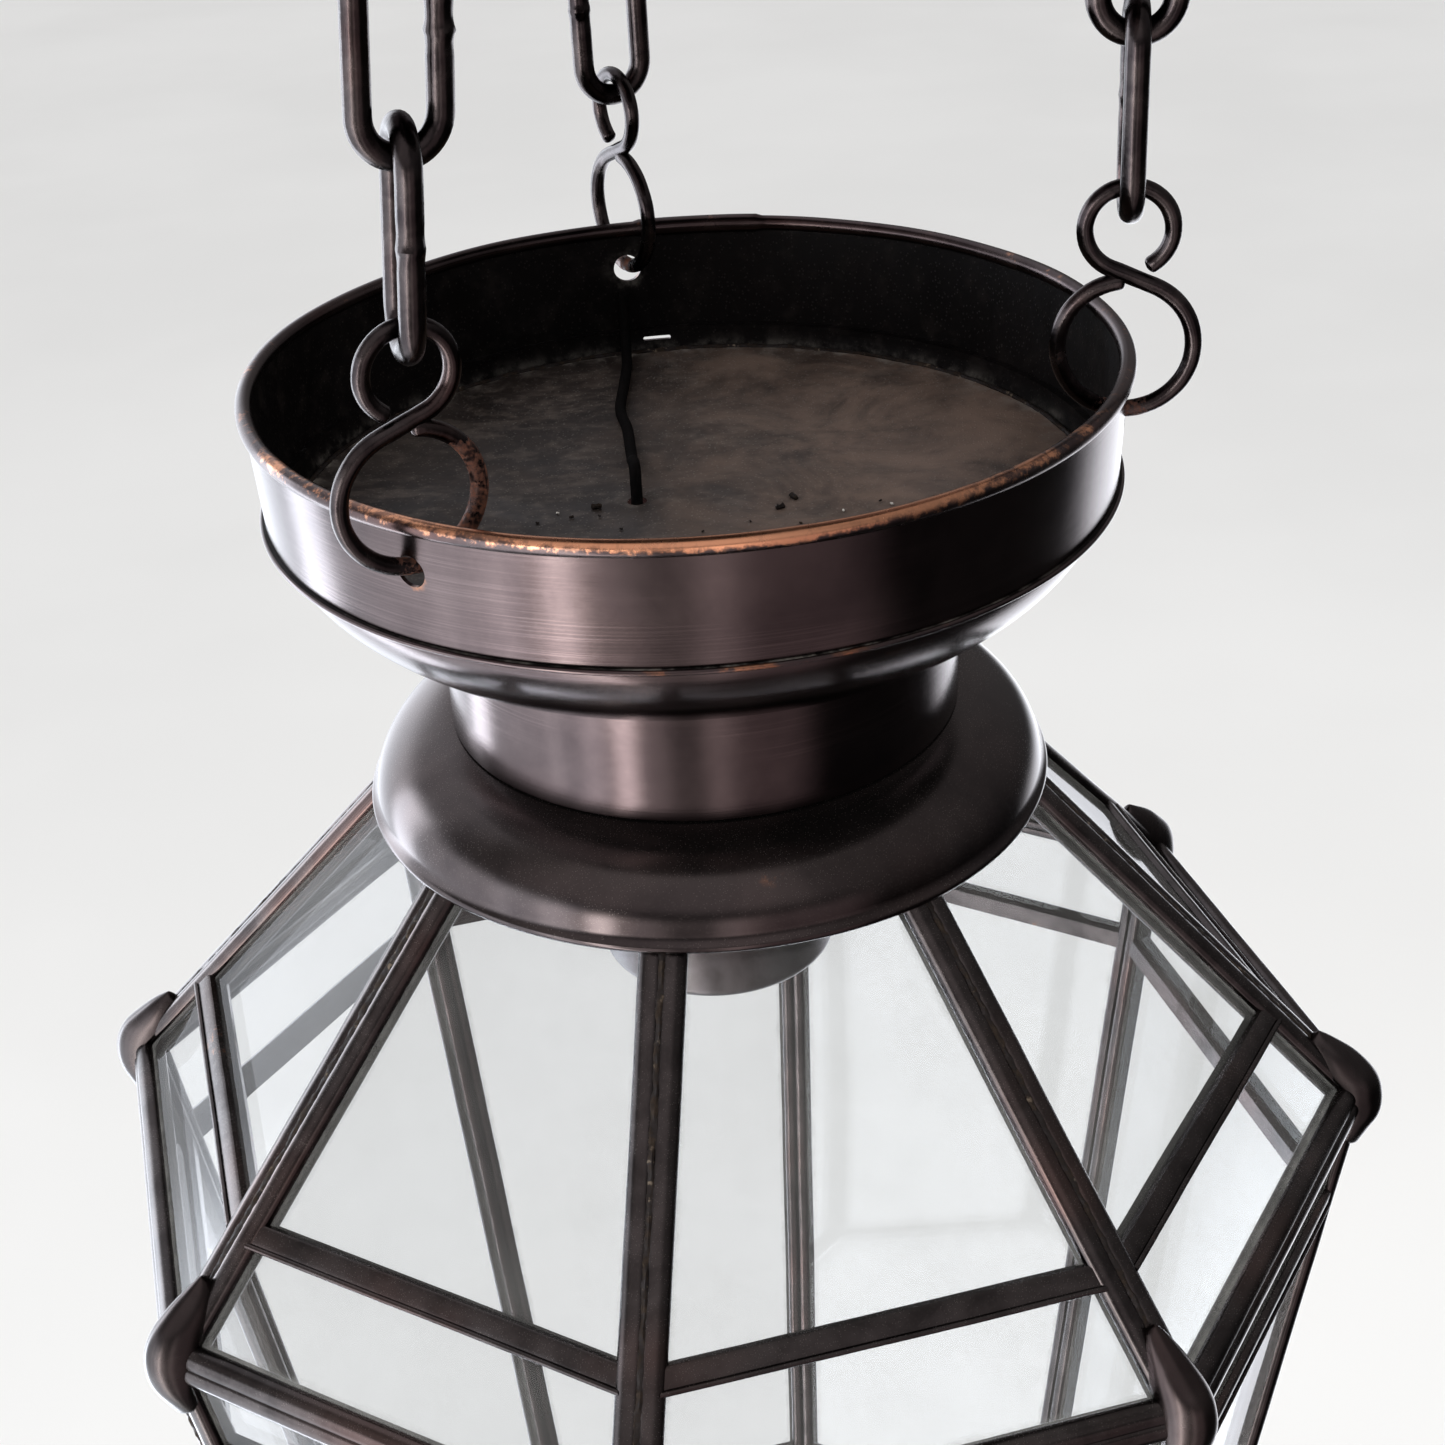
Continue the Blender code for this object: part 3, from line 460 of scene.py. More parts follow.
class Shape:
    """Vertices and faces of one piece while it is built."""

    def __init__(self):
        self.points = []
        self.faces = []
        self.slots = []

    def add(self, points, faces):
        start = len(self.points)
        self.points += points
        self.faces += [tuple(start + i for i in face) for face in faces]
        self.slots += [0] * len(faces)

    def grid(self, rings, row_closed=False, ends_closed=False):
        """Skins equal closed rings of points; can join the last ring to the first, or fill both."""
        rows, count = len(rings), len(rings[0])
        faces = []
        for i in range(rows if row_closed else rows - 1):
            for j in range(count):
                k, n = (i + 1) % rows, (j + 1) % count
                faces.append((i * count + j, i * count + n, k * count + n, k * count + j))
        if ends_closed:
            last = (rows - 1) * count
            faces += [tuple(reversed(range(count))), tuple(range(last, last + count))]
        self.add([p for ring in rings for p in ring], faces)

    def tube(self, points, radius, closed=False, sides=16, swell=None):
        """A round bar along points with rounded ends; swell(share, around) scales its radius."""
        count = len(points)
        tangents = []
        for i in range(count):
            before = points[i - 1] if closed or i else points[0]
            after = points[(i + 1) % count] if closed or i < count - 1 else points[-1]
            tangents.append((after - before).normalized())
        side = tangents[0].orthogonal().normalized()
        sections = []
        for i in range(count):
            if i:
                side = tangents[i - 1].rotation_difference(tangents[i]) @ side
            side = (side - tangents[i] * side.dot(tangents[i])).normalized()
            sections.append((points[i], tangents[i], side, 1.0, i / count))
        if not closed:
            caps = [(math.cos(a), math.sin(a)) for a in (math.radians(d) for d in (25, 50, 72, 88))]
            first, last = sections[0], sections[-1]
            bulge = radius * 0.6
            head = [(first[0] - first[1] * bulge * s, *first[1:3], c, 0.0) for c, s in reversed(caps)]
            tail = [(last[0] + last[1] * bulge * s, *last[1:3], c, 1.0) for c, s in caps]
            sections = head + sections + tail
        rings = []
        for middle, tangent, across, shrink, share in sections:
            other = tangent.cross(across)
            ring = []
            for j in range(sides):
                angle = 2 * math.pi * j / sides
                reach = radius * shrink * (swell(share, angle) if swell else 1.0)
                ring.append(middle + (across * math.cos(angle) + other * math.sin(angle)) * reach)
            rings.append(ring)
        self.grid(rings, row_closed=closed, ends_closed=not closed)

    def lathe(self, profile, turns=FINE, place=Matrix.Identity(4), warp=None, slots=None):
        """Turns a closed (radius, height) profile; warp(azimuth, radius, height) may move a point."""
        rings = []
        for j in range(turns):
            azimuth = 2 * math.pi * j / turns
            ring = []
            for radius, height in profile:
                turned = warp(azimuth, radius, height) if warp else (radius, height)
                ring.append(place @ polar(turned[0], azimuth, turned[1]))
            rings.append(ring)
        self.grid(rings, row_closed=True)
        if slots:
            self.slots = slots * turns

    def disc(self, profile, warp=None):
        """Turns a profile whose ends are not joined: flat faces fill the top and the bottom instead."""
        self.lathe(profile, warp=warp)
        count = len(profile)
        self.faces = [face for face in self.faces if {i % count for i in face} != {0, count - 1}]
        self.faces += [tuple(range(end, FINE * count, count)) for end in (0, count - 1)]
        self.slots = [0] * len(self.faces)

    def mesh(self, name, looks=()):
        """The shape as a mesh, with its faces turned outwards."""
        mesh = bpy.data.meshes.new(name)
        mesh.from_pydata(self.points, [], self.faces)
        for look in looks:
            mesh.materials.append(look)
        mesh.polygons.foreach_set("material_index", self.slots)
        work = bmesh.new()
        work.from_mesh(mesh)
        bmesh.ops.remove_doubles(work, verts=work.verts, dist=SAME_POINT)
        bmesh.ops.recalc_face_normals(work, faces=work.faces)
        if work.calc_volume(signed=True) < 0:
            bmesh.ops.reverse_faces(work, faces=work.faces)
        work.to_mesh(mesh)
        work.free()
        return mesh

    def build(self, name, body, looks, replaces=(), slot="dark_bronze",
              wear=None, sharp=38.0, cutters=()):
        """Makes the object, cuts it, paints its wear and ties it to the CAD frame."""
        piece = placed(name, self.mesh(name, looks))
        if cutters:
            cut(piece, cutters)
        if wear:
            paint(piece, "wear", [wear(vertex.co) for vertex in piece.data.vertices])
        piece.data.shade_smooth()
        piece.data.set_sharp_from_angle(angle=math.radians(sharp))
        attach(piece, body)
        if replaces:
            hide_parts(*replaces)
        return piece


def paint(piece, name, values):
    """Gives every vertex of a piece a number that its material can read."""
    layer = piece.data.attributes.new(name, "FLOAT", "POINT")
    layer.data.foreach_set("value", values)


def cut(piece, cutters):
    """Cuts closed shapes out of a piece and keeps the result as its mesh."""
    blades = []
    for shape in cutters:
        blade = placed("cutter", shape.mesh("cutter"))
        change = piece.modifiers.new("cut", "BOOLEAN")
        change.object = blade
        blades.append(blade)
    bpy.context.view_layer.update()
    result = bpy.data.meshes.new_from_object(piece.evaluated_get(bpy.context.evaluated_depsgraph_get()))
    piece.modifiers.clear()
    piece.data = result
    for blade in blades:
        bpy.data.objects.remove(blade)


def arc(centre, radius, start, stop, count):
    """Points (across, up) of an arc between two angles in degrees."""
    angles = [math.radians(start + (stop - start) * i / (count - 1)) for i in range(count)]
    return [(centre[0] + radius * math.cos(a), centre[1] + radius * math.sin(a)) for a in angles]


def upright(points, azimuth, place):
    """(across, up) points stood in the vertical plane that faces an azimuth in degrees."""
    return [place @ polar(s, math.radians(azimuth), z) for s, z in points]


def refined(points, step, closed=False):
    """The same line with a point about every step."""
    fine = []
    count = len(points)
    for i in range(count if closed else count - 1):
        start, end = points[i], points[(i + 1) % count]
        parts = max(1, round((end - start).length / step))
        fine += [start.lerp(end, j / parts) for j in range(parts)]
    return fine if closed else fine + [points[-1]]


def smooth_path(knots, step):
    """Points a step apart on a smooth curve through the knots."""
    ends = [2 * knots[0] - knots[1]] + knots + [2 * knots[-1] - knots[-2]]
    path = []
    for i in range(len(knots) - 1):
        p0, p1, p2, p3 = ends[i:i + 4]
        count = max(1, round((p2 - p1).length / step))
        for j in range(count):
            t = j / count
            path.append(0.5 * (2 * p1 + (p2 - p0) * t + (2 * p0 - 5 * p1 + 4 * p2 - p3) * t ** 2
                               + (3 * p1 - p0 - 3 * p2 + p3) * t ** 3))
    return path + [knots[-1]]


def near(azimuth, centre, spread):
    """1 at an azimuth in degrees, falling to 0 a spread away."""
    away = abs((math.degrees(azimuth) - centre + 180.0) % 360.0 - 180.0)
    return max(0.0, 1.0 - away / spread)


def uneven(point, scale, size):
    """A small hand-made unevenness that is the same wherever pieces meet."""
    return point + noise.noise_vector(point * scale) * size


def hand_made(point):
    """The unevenness of a came: a slow wander and small dents."""
    return uneven(uneven(point, 25.0, 0.00016), 170.0, 0.00005)


def flex(looks):
    """From the lampholder's tube, out of the hole in the floor, over it and up the back wall."""
    floor = RIM_Z - FLOOR_DEPTH + FLEX_RADIUS + 0.0002
    wall_x, wall_y = -0.0143, WALL_FOOT_RADIUS - WALL_THICKNESS - FLEX_RADIUS - 0.0018
    tube_top = RIM_Z - CROSSBAR_DEPTH + 0.009
    knots = [Vector((0.0, 0.0, tube_top - 0.012)), Vector((0.0, 0.0, tube_top + 0.002)),
             Vector((-0.0020, -0.0020, tube_top + 0.012)), Vector((-0.0090, -0.0044, floor - 0.020)),
             Vector((-0.0121, -0.0040, floor - 0.0075)), Vector((-0.0122, -0.0033, floor - 0.0012)),
             Vector((-0.0123, 0.0010, floor + 0.0032)), Vector((-0.0126, 0.0065, floor + 0.0030)),
             Vector((-0.0130, 0.0125, floor + 0.0008)), Vector((-0.0134, 0.0200, floor)),
             Vector((-0.0142, 0.0330, floor)), Vector((-0.0158, 0.0450, floor)),
             Vector((-0.0150, 0.0600, floor)), Vector((-0.0143, 0.0720, floor)),
             Vector((wall_x, wall_y - 0.0085, floor + 0.0003)),
             Vector((wall_x, wall_y - 0.0030, floor + 0.0028)),
             Vector((wall_x, wall_y - 0.0003, floor + 0.0085)),
             Vector((wall_x + 0.0003, wall_y, floor + 0.0135))]
    route = smooth_path(knots, 0.0010)
    curve = bpy.data.curves.new("flex_cord", "CURVE")
    curve.dimensions = "3D"
    curve.bevel_depth = FLEX_RADIUS
    curve.bevel_resolution = 6
    curve.use_fill_caps = True
    spline = curve.splines.new("POLY")
    spline.points.add(len(route) - 1)
    for target, point in zip(spline.points, route):
        target.co = (*point, 1.0)
    curve.materials.append(looks["flex"])
    piece = placed("flex_cord", curve)
    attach(piece, "lantern")
    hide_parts("flex")


# ---- suspension ---------------------------------------------------------------------------------
def hook_point(side):
    """Where the S-hook's wire goes through the pan wall."""
    return polar(HOOK_CIRCLE, math.radians(HOOK_AZIMUTHS[side]), S_FOOT)


def chain_axis(side, height):
    """The point of a chain's straight line at a height; the left chain leans along X."""
    foot = hook_point(side)
    lean = LEFT_LEAN * (height - S_FOOT) / (HOOK_Z - S_FOOT) if side == "left" else 0.0
    return Vector((foot.x + lean, foot.y, height))


def chain_tilt(side):
    """Turns a vertical piece into the chain's own line."""
    line = chain_axis(side, HOOK_Z) - hook_point(side)
    return Vector((0, 0, 1)).rotation_difference(line).to_matrix().to_4x4()


def ceiling_plate(looks):
    """A turned plate, open below; its flat faces have rings of points on both sides of the screws."""
    low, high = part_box("ceiling_plate")
    radius, depth, wall, rounding = high.x, -low.z, PLATE_THICKNESS, 0.0012
    rings = (0.012, 0.041, 0.049, 0.075)
    profile = [(reach, 0.0) for reach in rings] + [(radius - rounding, 0.0)]
    profile += arc((radius - rounding, -rounding), rounding, 60, 0, 4)
    profile += [(radius, -depth + rounding)]
    profile += arc((radius - rounding, -depth + rounding), rounding, 0, -90, 5)[1:]
    profile += arc((radius - wall + rounding / 2, -depth + rounding / 2), rounding / 2, -90, -180, 4)
    profile += arc((radius - wall - 0.002, -wall - 0.002), 0.002, 0, 90, 5)
    profile += [(reach, -wall) for reach in reversed(rings)]
    plate = Shape()
    plate.disc(profile)
    holes = []
    for number in range(3):
        line = [polar(SCREW_CIRCLE, math.radians(30 + 120 * number), z) for z in (-0.01, 0.01)]
        hole = Shape()
        hole.tube(line, SCREW_HOLE_RADIUS, sides=33)
        holes.append(hole)
    plate.build("ceiling_plate_turned", "ceiling", [looks["bronze"]], ["ceiling_plate"], cutters=holes)


def suspension(looks):
    ceiling_plate(looks)
    for side, turn in S_TURNS.items():
        ceiling_hook(side, looks["bronze"])
        chain_link(side, "upper", UPPER_LINK_FOOT, turn, looks["steel"])
        chain_link(side, "lower", LOWER_LINK_FOOT, LOWER_LINK_TURNS[side], looks["steel"])
        s_hook(side, looks["steel"])


def ceiling_hook(side, look):
    bend = [(s, z + CEILING_HOOK_BEND) for s, z in arc((0, 0), CEILING_HOOK_BEND, -180, 45, 40)]
    shank_top = -HOOK_Z - PLATE_THICKNESS - GAP
    shank = [(-CEILING_HOOK_BEND, shank_top - i * 0.002) for i in range(4)]
    line = upright(shank + bend, S_TURNS[side] + 90, Matrix.Translation(chain_axis(side, HOOK_Z)))
    shape = Shape()
    shape.tube(line, HOOK_WIRE, sides=20)
    shape.build(f"ceiling_hook_{side}_wire", "ceiling", [look], [f"ceiling_hook_{side}"])


def chain_link(side, name, foot, azimuth, look):
    """A long welded link; the weld leaves a burr half-way down one straight."""
    bend = LINK_WIDTH / 2 - LINK_WIRE
    straight = HALF_LINK - bend
    outline = arc((0, straight), bend, 0, 180, 24) + arc((0, -straight), bend, 180, 360, 24)
    place = Matrix.Translation(chain_axis(side, foot + HALF_LINK)) @ chain_tilt(side)
    line = refined(upright(outline, azimuth, place), 0.0009, closed=True)
    weld_side = -1 if name == "upper" else 1
    spot = place @ polar(weld_side * bend, math.radians(azimuth), 0.001)
    count = len(line)

    def swell(share, around):
        point = line[round(share * count) % count]
        away = (point - spot).length
        ridge = 0.13 * math.exp(-(away / 0.0008) ** 2)
        ridge -= 0.05 * math.exp(-((away - 0.0026) / 0.0014) ** 2)
        ridge *= 1.0 + 0.4 * math.sin(2 * around)
        lumps = 0.04 * noise.noise(point * 700.0 + Vector((around * 1.7, 0, 0)))
        return 1.0 + ridge + lumps * (0.3 + math.exp(-(away / 0.002) ** 2))

    shape = Shape()
    shape.tube(line, LINK_WIRE, closed=True, sides=20, swell=swell)
    shape.build(f"chain_{side}_{name}_link", f"chain_{side}", [look], [f"chain_link_{side}_{name}"],
                "chain_steel", wear=lambda p: 0.18 * max(0.0, noise.noise(p * 120.0)))


def s_hook(side, look):
    """Two unequal loops joined by their common inside tangent; rusty where it rubs in the hole."""
    foot = hook_point(side)
    distance = S_UPPER + S_LOWER + S_NECK
    tangent = math.degrees(math.acos((S_UPPER + S_LOWER) / distance))
    upper = arc((0, S_LOWER + distance), S_UPPER, -58, 270 - tangent, 44)
    lower = arc((0, S_LOWER), S_LOWER, 90 - tangent, -264, 64)
    place = Matrix.Translation(foot) @ chain_tilt(side)
    line = refined(upright(upper + lower, S_TURNS[side], place), 0.0009)
    inward = -Vector((foot.x, foot.y, 0)).normalized()

    def rust(point):
        away = (point - foot).length
        inner = (point - foot).dot(inward)
        below = 1.0 if point.z < S_FOOT + 1.7 * S_LOWER else 0.0
        strand = 0.75 if side == "left" and inner > 0.004 else 0.25 if inner > 0.002 else 0.0
        return min(1.0, 0.8 * math.exp(-(away / 0.006) ** 2) + strand * below)

    def swell(share, around):
        return 1.0 + 0.035 * noise.noise(Vector((share * 40.0, around, HOOK_AZIMUTHS[side])))

    shape = Shape()
    shape.tube(line, S_WIRE, sides=20, swell=swell)
    shape.build(f"s_hook_{side}_wire", f"chain_{side}", [look], [f"s_hook_{side}"], "chain_steel",
                wear=rust)


# ---- pan, neck and collar -----------------------------------------------------------------------
def dish_point(angle, inset):
    inner = NECK_RADIUS + GAP
    across = LIP_RADIUS - LIP_STEP - inner - inset
    down = DISH_DEPTH - LIP_DEPTH - LIP_THICKNESS - inset
    height = RIM_Z - LIP_DEPTH - LIP_THICKNESS - down * math.sin(angle) ** DISH_CURVE
    return inner + across * max(0.0, math.cos(angle)) ** DISH_CURVE, height


def pan_rim(looks):
    """Wire rolled into the edge; at the back the strip's end laps over its start."""
    def warp(azimuth, radius, height):
        lap = 0.22 if math.radians(77.0) < azimuth < math.radians(96.0) else 0.0
        wobble = 0.00025 * noise.noise(polar(3, azimuth, 0.4))
        return (RIM_CIRCLE + (radius - RIM_CIRCLE) * (1 + lap) + wobble,
                RIM_Z + (height - RIM_Z) * (1 + lap) + wobble)

    def wear(point):
        azimuth = azimuth_of(point)
        front = near(azimuth, -92.0, 80.0) * 0.75 + near(azimuth, -80.0, 26.0) * 0.35
        top = max(0.0, (point.z - RIM_Z) / RIM_WIRE * 0.55 + 0.60)
        return min(1.0, (0.30 + front) * top)

    shape = Shape()
    shape.lathe(arc((RIM_CIRCLE, RIM_Z), RIM_WIRE, 0, 345, 24), turns=2 * FINE, warp=warp)
    shape.build("pan_rim_roll", "lantern", [looks["rim"]], ["pan_rim"], wear=wear)


def pan_wall(looks):
    top, foot = RIM_Z - RIM_WIRE * 0.7, RIM_Z - LIP_DEPTH + 0.00005
    rows = 14

    def side(inset, down):
        share = (RIM_Z - down) / LIP_DEPTH
        return WALL_TOP_RADIUS + (WALL_FOOT_RADIUS - WALL_TOP_RADIUS) * share - inset, down

    heights = [top + (foot - top) * i / rows for i in range(rows + 1)]
    profile = [side(0.0, z) for z in heights] + [side(WALL_THICKNESS, z) for z in reversed(heights)]

    def warp(azimuth, radius, height):
        seam = near(azimuth, math.degrees(SLOT_AZIMUTH) + 1.0, 1.6)
        bulge = 0.00018 * noise.noise(polar(2.2, azimuth, height * 30))
        inner = radius < side(WALL_THICKNESS / 2, height)[0]
        return radius + bulge - (0.0007 * min(1.0, seam * 3) if inner else 0.0), height

    holes = []
    for name, azimuth in HOOK_AZIMUTHS.items():
        outward = polar(1.0, math.radians(azimuth))
        middle = hook_point(name) - Vector((0, 0, HOOK_HOLE_RADIUS - S_WIRE - CONTACT))
        hole = Shape()
        hole.tube([middle - outward * 0.006, middle + outward * 0.006], HOOK_HOLE_RADIUS, sides=40)
        holes.append(hole)

    def wear(point):
        worn = 0.0
        for name in HOOK_AZIMUTHS:
            middle = hook_point(name) - Vector((0, 0, HOOK_HOLE_RADIUS - S_WIRE))
            away = (point - middle).length - HOOK_HOLE_RADIUS
            worn = max(worn, 0.42 * math.exp(-max(0.0, away) / 0.0012))
        low = math.exp(-(point.z - foot) / 0.0014) * near(azimuth_of(point), -88.0, 60.0)
        return min(1.0, worn + 0.45 * low)

    shape = Shape()
    outer_faces = [0] * rows + [1] * (rows + 2)
    shape.lathe(profile, turns=2 * FINE, warp=warp, slots=outer_faces)
    shape.build("pan_wall_strip", "lantern", [looks["brushed"], looks["inside"]], ["pan_wall"], wear=wear,
                cutters=holes)


def pan_dish(looks):
    steps = [math.radians(90 * i / 24) for i in range(25)]
    lip_top = RIM_Z - LIP_DEPTH
    lip = LIP_THICKNESS / 2
    outer = arc((LIP_RADIUS - lip, lip_top - lip), lip, 90, -90, 9)
    outer += [(LIP_RADIUS - 0.0026, lip_top - LIP_THICKNESS - 0.0001)]
    outer += [dish_point(a, 0.0) for a in steps]
    inner = [dish_point(a, DISH_WALL) for a in reversed(steps)]
    inside = inner + [(inner[-1][0], lip_top)]
    slot_level = RIM_Z - FLOOR_DEPTH + 0.0026
    along = Vector((-math.sin(SLOT_AZIMUTH), math.cos(SLOT_AZIMUTH), 0))
    rounded = arc((0.0030, 0.0), 0.00045, -90, 90, 9) + arc((-0.0030, 0.0), 0.00045, 90, 270, 9)
    slot = Shape()
    slot.grid([[polar(reach, SLOT_AZIMUTH, slot_level + z) + along * s for s, z in rounded]
               for reach in (0.083, 0.095)], ends_closed=True)

    def wear(point):
        azimuth = azimuth_of(point)
        across = point.xy.length
        lip_edge = 0.60 * near(azimuth, -88.0, 55.0) if across > LIP_RADIUS - 0.0012 else 0.0
        over_floor = abs(point.z - RIM_Z + FLOOR_DEPTH)
        inner_dust = 0.5 * math.exp(-over_floor / 0.0008) if across < LIP_RADIUS - 0.0035 else 0.0
        return min(1.0, lip_edge + inner_dust + 0.15 * near(azimuth, -78.0, 14.0))

    shape = Shape()
    slots = [0] * (len(outer) - 1) + [1] * (len(inside) + 1)
    shape.lathe(outer + inside, turns=2 * FINE, slots=slots)
    shape.build("pan_dish_spun", "lantern", [looks["brushed"], looks["inside"]], ["pan_dish"], wear=wear,
                cutters=[slot])


def pan_floor(looks):
    """A soldered disc, a little uneven, with a rough solder line round its edge."""
    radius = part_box("pan_floor")[1].y
    level = RIM_Z - FLOOR_DEPTH
    rows = 26

    def warp(azimuth, reach, height):
        if height < level - 0.0001 or reach > radius - 0.0004:
            return reach, height
        at = polar(reach, azimuth)
        hole = (at - FLOOR_HOLE).length
        swell = 0.00030 * noise.noise(at * 35.0) + 0.00012 * noise.noise(at * 160.0) - 0.00025
        return reach, height + swell - 0.00025 * math.exp(-(hole / 0.006) ** 2)

    shape = Shape()
    tops = [(radius * i / rows, level) for i in range(1, rows + 1)]
    profile = tops + [(radius, level - 0.0008), (radius / rows, level - 0.0008)]
    shape.disc(profile, warp)
    hole = Shape()
    middle = FLOOR_HOLE + Vector((0, 0, level))
    hole.tube([middle + Vector((0, 0, z)) for z in (-0.006, 0.006)], FLOOR_HOLE_RADIUS, sides=32)

    def wear(point):
        rim = math.exp(-(radius - point.xy.length) / 0.0022)
        return min(1.0, 0.9 * rim + 0.5 * math.exp(-(point - middle).length / 0.003))

    shape.build("pan_floor_disc", "lantern", [looks["floor"]], ["pan_floor"], "dusty_bronze", wear=wear,
                cutters=[hole])

    line = []
    for i in range(2 * FINE):
        azimuth = math.pi * i / FINE
        if near(azimuth, math.degrees(SLOT_AZIMUTH), 4.0) > 0:
            reach = radius - 0.0006
        else:
            reach = radius - 0.0002 + 0.0003 * noise.noise(polar(9, azimuth))
        line.append(polar(reach, azimuth, level))

    def swell(share, around):
        lumps = noise.noise(Vector((share * 160.0, around * 0.8, 0.0)))
        return 1.0 + 0.55 * lumps + 0.5 * noise.noise(Vector((share * 24.0, 0.0, 3.0)))

    bead = Shape()
    bead.tube(line, 0.0006, closed=True, sides=10, swell=swell)
    bead.build("pan_floor_solder", "lantern", [looks["solder"]], slot="dusty_bronze")
    crumbs(level, looks)


def crumbs(level, looks):
    """Bits of old solder and pale grit that lie on the floor, most of them near its front."""
    sorts = {"dark": Shape(), "pale": Shape()}
    for i in range(46):
        grit = sorts["pale" if i % 3 == 0 else "dark"]
        spread = 0.5 + 0.5 * math.sin(i * 7.31)
        azimuth = math.radians(-90 + 74 * math.sin(i * 2.399))
        reach = 0.022 + 0.052 * spread
        size = 0.00025 + 0.00055 * (0.5 + 0.5 * math.sin(i * 4.7)) ** 3
        middle = polar(reach, azimuth, level + size * 0.4 - 0.0001)
        along = Vector((math.cos(i * 1.9), math.sin(i * 1.9), 0.1)) * size
        grit.tube([middle - along, middle, middle + along], size, sides=7,
                  swell=lambda share, around: 0.8 + 0.3 * math.sin(3 * around + 9 * share))
    sorts["dark"].build("pan_floor_crumbs", "lantern", [looks["solder"]], slot="dusty_bronze")
    sorts["pale"].build("pan_floor_grit", "lantern", [looks["grit"]], slot="dusty_bronze")


def neck(looks):
    top = RIM_Z - DISH_DEPTH + 0.0040
    foot = RIM_Z - NECK_FOOT_DEPTH + GAP
    rows = 12
    heights = [top + (foot - top) * i / rows for i in range(rows + 1)]
    profile = [(NECK_RADIUS, z) for z in heights]
    profile += [(NECK_RADIUS - NECK_WALL, z) for z in reversed(heights)]

    def warp(azimuth, radius, height):
        return radius + 0.00012 * noise.noise(polar(3, azimuth, 7)), height

    shape = Shape()
    shape.lathe(profile, warp=warp)
    shape.build("neck_tube", "lantern", [looks["brushed"]], ["neck"],
                wear=lambda p: 0.25 * math.exp(-(p.z - foot) / 0.0012))


def collar(looks):
    start = NECK_RADIUS - 0.0030
    across = COLLAR_RADIUS - 0.0012 - start
    down = COLLAR_DEPTH - NECK_FOOT_DEPTH
    steps = [math.radians(90 * i / 28) for i in range(29)]
    thin = 0.0011

    def dome(angle, inset):
        height = RIM_Z - COLLAR_DEPTH + (down - inset) * math.cos(angle)
        return start + (across - inset) * math.sin(angle), height

    edge = arc((COLLAR_RADIUS - 0.0012, RIM_Z - COLLAR_DEPTH), 0.0012, 50, -215, 14)
    profile = [dome(a, 0.0) for a in steps[:-2]] + edge + [dome(a, thin) for a in reversed(steps[:-1])]

    def warp(azimuth, radius, height):
        at = polar(radius, azimuth, height)
        return radius, height + 0.00022 * noise.noise(at * 28.0) * (radius - start) / across

    def wear(point):
        azimuth = azimuth_of(point)
        reach = point.xy.length
        patch = 0.30 * near(azimuth, -84.0, 26.0) * max(0.0, 1.0 - abs(reach - 0.070) / 0.008)
        return patch + (0.30 if reach > COLLAR_RADIUS - 0.0008 else 0.0)

    def dust(point):
        azimuth = azimuth_of(point)
        reach = point.xy.length
        by_neck = max(0.0, 1.0 - (reach - NECK_RADIUS) / 0.009)
        in_front = near(azimuth, -105.0, 60.0) * max(0.0, 1.0 - abs(reach - 0.067) / 0.010)
        return 0.8 * (by_neck + in_front)

    shape = Shape()
    shape.lathe(profile, turns=2 * FINE, warp=warp)
    piece = shape.build("collar_dome", "lantern", [looks["collar"]], ["collar"], "dusty_bronze",
                        wear=wear, sharp=60.0)
    paint(piece, "dust", [dust(vertex.co) for vertex in piece.data.vertices])


def lampholder(looks):
    foot = RIM_Z - CUP_FOOT_DEPTH
    top = foot + CUP_HEIGHT
    wall = 0.0012
    outer = [(0.0053, top)] + arc((CUP_RADIUS - 0.008, top - 0.008), 0.008, 90, 0, 12)
    outer += arc((CUP_RADIUS - 0.003, foot + 0.003), 0.003, 0, -90, 8)
    inner = arc((CUP_RADIUS - 0.003, foot + 0.003), 0.003 - wall, -90, 0, 6)
    inner += arc((CUP_RADIUS - 0.008, top - 0.008), 0.008 - wall, 0, 90, 10) + [(0.0053, top - wall)]
    shape = Shape()
    shape.lathe(outer + inner, turns=128)
    shape.build("lampholder_cup", "lantern", [looks["cup"]], ["lampholder_shell"])
    finishes = {"lampholder_crossbar": "bronze", "lampholder_tube": "brass", "lampholder_nut": "brass",
                "lampholder_insulator": "ceramic", "lampholder_screw_shell": "brass",
                "lampholder_contact": "brass", "door_hinge_pin": "bronze"}
    for node, look in finishes.items():
        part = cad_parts[node]
        part.data.materials.clear()
        part.data.materials.append(looks[look])


# ---- the cage -----------------------------------------------------------------------------------
def corner_azimuth(number):
    return CAGE_TURN + number * 2 * math.pi / FACE_COUNT


